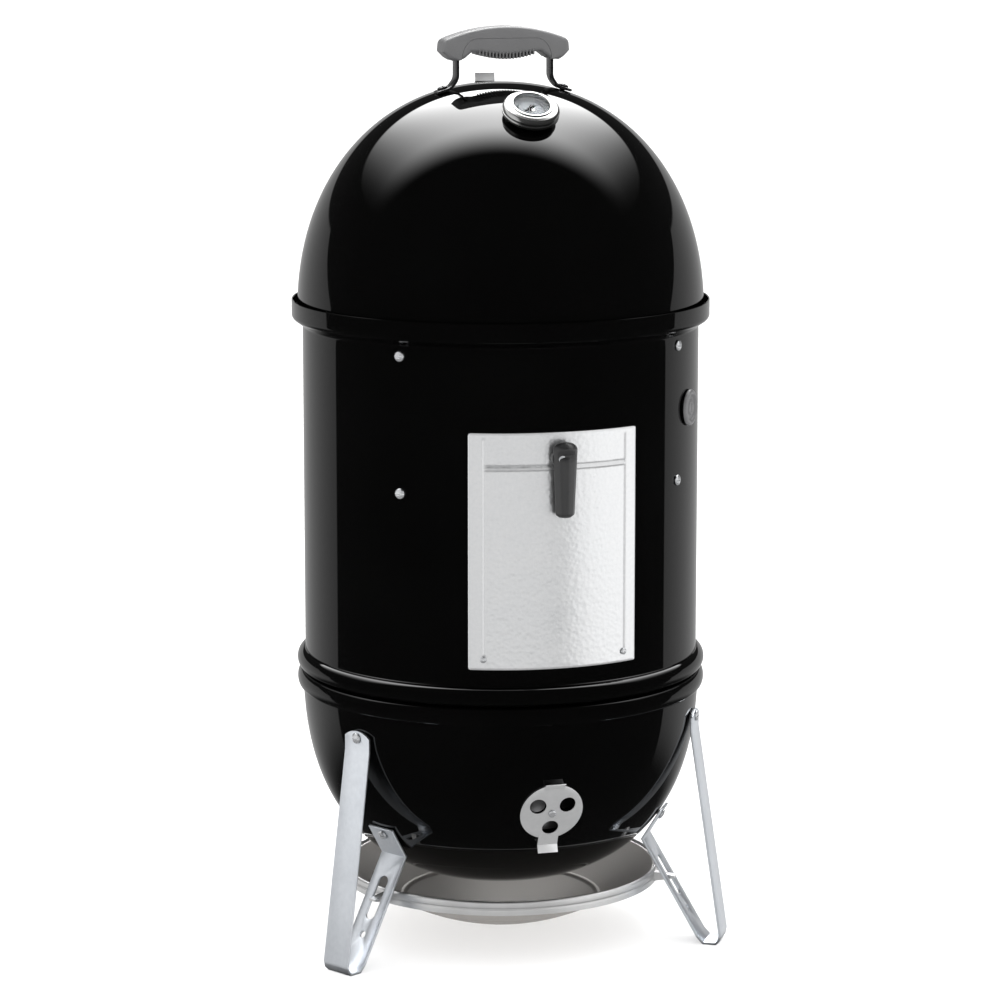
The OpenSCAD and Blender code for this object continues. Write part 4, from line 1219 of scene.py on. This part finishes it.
# ---- Light ----
# White all round for even light and a white ground. What polished surfaces mirror is a studio: dark in
# front, a white wall behind the object, and a large soft panel overhead that fades towards the front.
world = bpy.data.worlds.new("studio")
bpy.context.scene.world = world
world.use_nodes = True
tree = world.node_tree
tree.nodes.clear()
look = place_node(tree, "ShaderNodeTexCoord").outputs["Generated"]
behind = (-math.sin(camera_azimuth), math.cos(camera_azimuth), 0)
sideways = (math.cos(camera_azimuth), math.sin(camera_azimuth), 0)


def along(direction):
    """How much of the look is in a direction, from -1 to 1."""
    part = place_node(tree, "ShaderNodeVectorMath", {0: look, 1: direction}, operation="DOT_PRODUCT")
    return part.outputs["Value"]


def maths(operation, first, second=0.0):
    """One sum on node values."""
    return place_node(tree, "ShaderNodeMath", {0: first, 1: second}, operation=operation).outputs["Value"]


def squared(value):
    """A node value times itself."""
    return maths("MULTIPLY", value, value)


def ease_in(value, low, high):
    """Goes from 0 to 1 with soft ends as the value goes from low to high."""
    return mapped(tree, value, low, high, 0.0, 1.0, interpolation_type="SMOOTHSTEP")


back_part, side_part, up_part = along(behind), along(sideways), along((0, 0, 1))
level = maths("SQRT", maths("SUBTRACT", 1.0, squared(up_part)))
wall_lean = maths("MAXIMUM", maths("ADD", up_part, 0.07), 0.0)
wall_edge = maths("ADD", 0.345, maths("MULTIPLY", wall_lean, 0.9))
wall_at = maths("SUBTRACT", maths("DIVIDE", back_part, level), wall_edge)
wall_rise = maths("ADD", 0.36, maths("MULTIPLY", maths("MAXIMUM", wall_at, 0.0), 0.22))
wall_light = maths("MULTIPLY", ease_in(wall_at, 0.0, 0.012), ease_in(up_part, 0.195, 0.175))
wall_light = maths("MULTIPLY", wall_light, ease_in(up_part, -0.5, -0.27))
wall_light = maths("MULTIPLY", wall_light, wall_rise)
height_up = maths("MAXIMUM", up_part, 0.05)
panel_side = maths("DIVIDE", side_part, height_up)
panel_front = maths("MULTIPLY", maths("DIVIDE", back_part, height_up), -1.0)
panel_spread = maths("EXPONENT", maths("MULTIPLY", squared(panel_side), -1.85))
panel_light = maths("MULTIPLY", panel_spread, ease_in(panel_front, 0.16, -0.30))
panel_light = maths("MULTIPLY", panel_light, ease_in(up_part, 0.452, 0.475))
panel_strength, dark_strength, white_strength = 9.6, 0.03, 1.06
panel_light = maths("MULTIPLY", panel_light, panel_strength)
mirrored = maths("ADD", maths("ADD", wall_light, panel_light), dark_strength)
plain_white = (1.0, 1.0, 1.0, 1.0)
studio = place_node(tree, "ShaderNodeBackground", {"Color": plain_white, "Strength": mirrored})
open_white = place_node(tree, "ShaderNodeBackground", {"Color": plain_white, "Strength": white_strength})
rays = place_node(tree, "ShaderNodeLightPath")
mixed = place_node(
    tree,
    "ShaderNodeMixShader",
    {0: rays.outputs["Is Glossy Ray"], 1: open_white.outputs["Background"], 2: studio.outputs["Background"]},
)
place_node(tree, "ShaderNodeOutputWorld", {"Surface": mixed.outputs["Shader"]})
aim = Vector((0, 0, 0.55))


def soft_light(name, size, watts):
    """A rectangular soft light."""
    light = bpy.data.lights.new(name, "AREA")
    light.shape = "RECTANGLE"
    light.size, light.size_y = size
    light.energy = watts
    return add(name, light)


def softbox(name, azimuth, away, height, size, watts):
    """A soft light that stands at an azimuth and faces the object."""
    lamp = soft_light(name, size, watts)
    angle = math.radians(azimuth)
    lamp.location = (away * math.sin(angle), -away * math.cos(angle), height)
    lamp.rotation_euler = (aim - lamp.location).to_track_quat("-Z", "Y").to_euler()
    return lamp


overhead = softbox("overhead", 164, 0.6, 3.2, (2.4, 2.4), 45)
overhead.visible_glossy = False

# The ground has a light of its own without shadows, so that it stays white round the soft shadow
# that the overhead light makes.
ground_light = bpy.data.lights.new("ground_light", "SUN")
ground_light.energy = 1.5
ground_light.use_shadow = False
ground_lamp = add("ground_light", ground_light)
ground_lamp.location = (0, 0, 5)
ground_only = bpy.data.collections.new("ground_only")
ground_only.objects.link(floor)
ground_lamp.light_linking.receiver_collection = ground_only

# The fills and the light that the ground throws up reach everything but the enamel and the black
# strap, which would mirror them. The turned steel of the thermometer takes only the left one.
fill_front = softbox("fill_front", -16, 6.5, 1.6, (9.0, 7.0), 112)
fill_left = softbox("fill_left", -88, 4.2, 1.6, (6.0, 6.0), 90)
fill_right = softbox("fill_right", 56, 4.2, 1.6, (6.0, 6.0), 105)
bounce = soft_light("bounce", (10.0, 10.0), 125)
bounce.location = (0, -2.5, 0.5 * mm)
bounce.rotation_euler = (math.pi, 0, 0)
bounce.visible_camera = False
bright_parts = bpy.data.collections.new("bright_parts")
gauge_parts = bpy.data.collections.new("gauge_parts")
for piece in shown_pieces():
    finish_name = piece.data.materials[0].name if piece.data.materials else ""
    if finish_name in ("gloss_enamel", "satin_black"):
        continue
    gauge_parts.objects.link(piece)
    if finish_name not in ("turned_stainless", "bezel_steel"):
        bright_parts.objects.link(piece)
for lamp in (fill_front, fill_right, bounce):
    lamp.light_linking.receiver_collection = bright_parts
fill_left.light_linking.receiver_collection = gauge_parts
bpy.context.scene.view_settings.view_transform = "Standard"
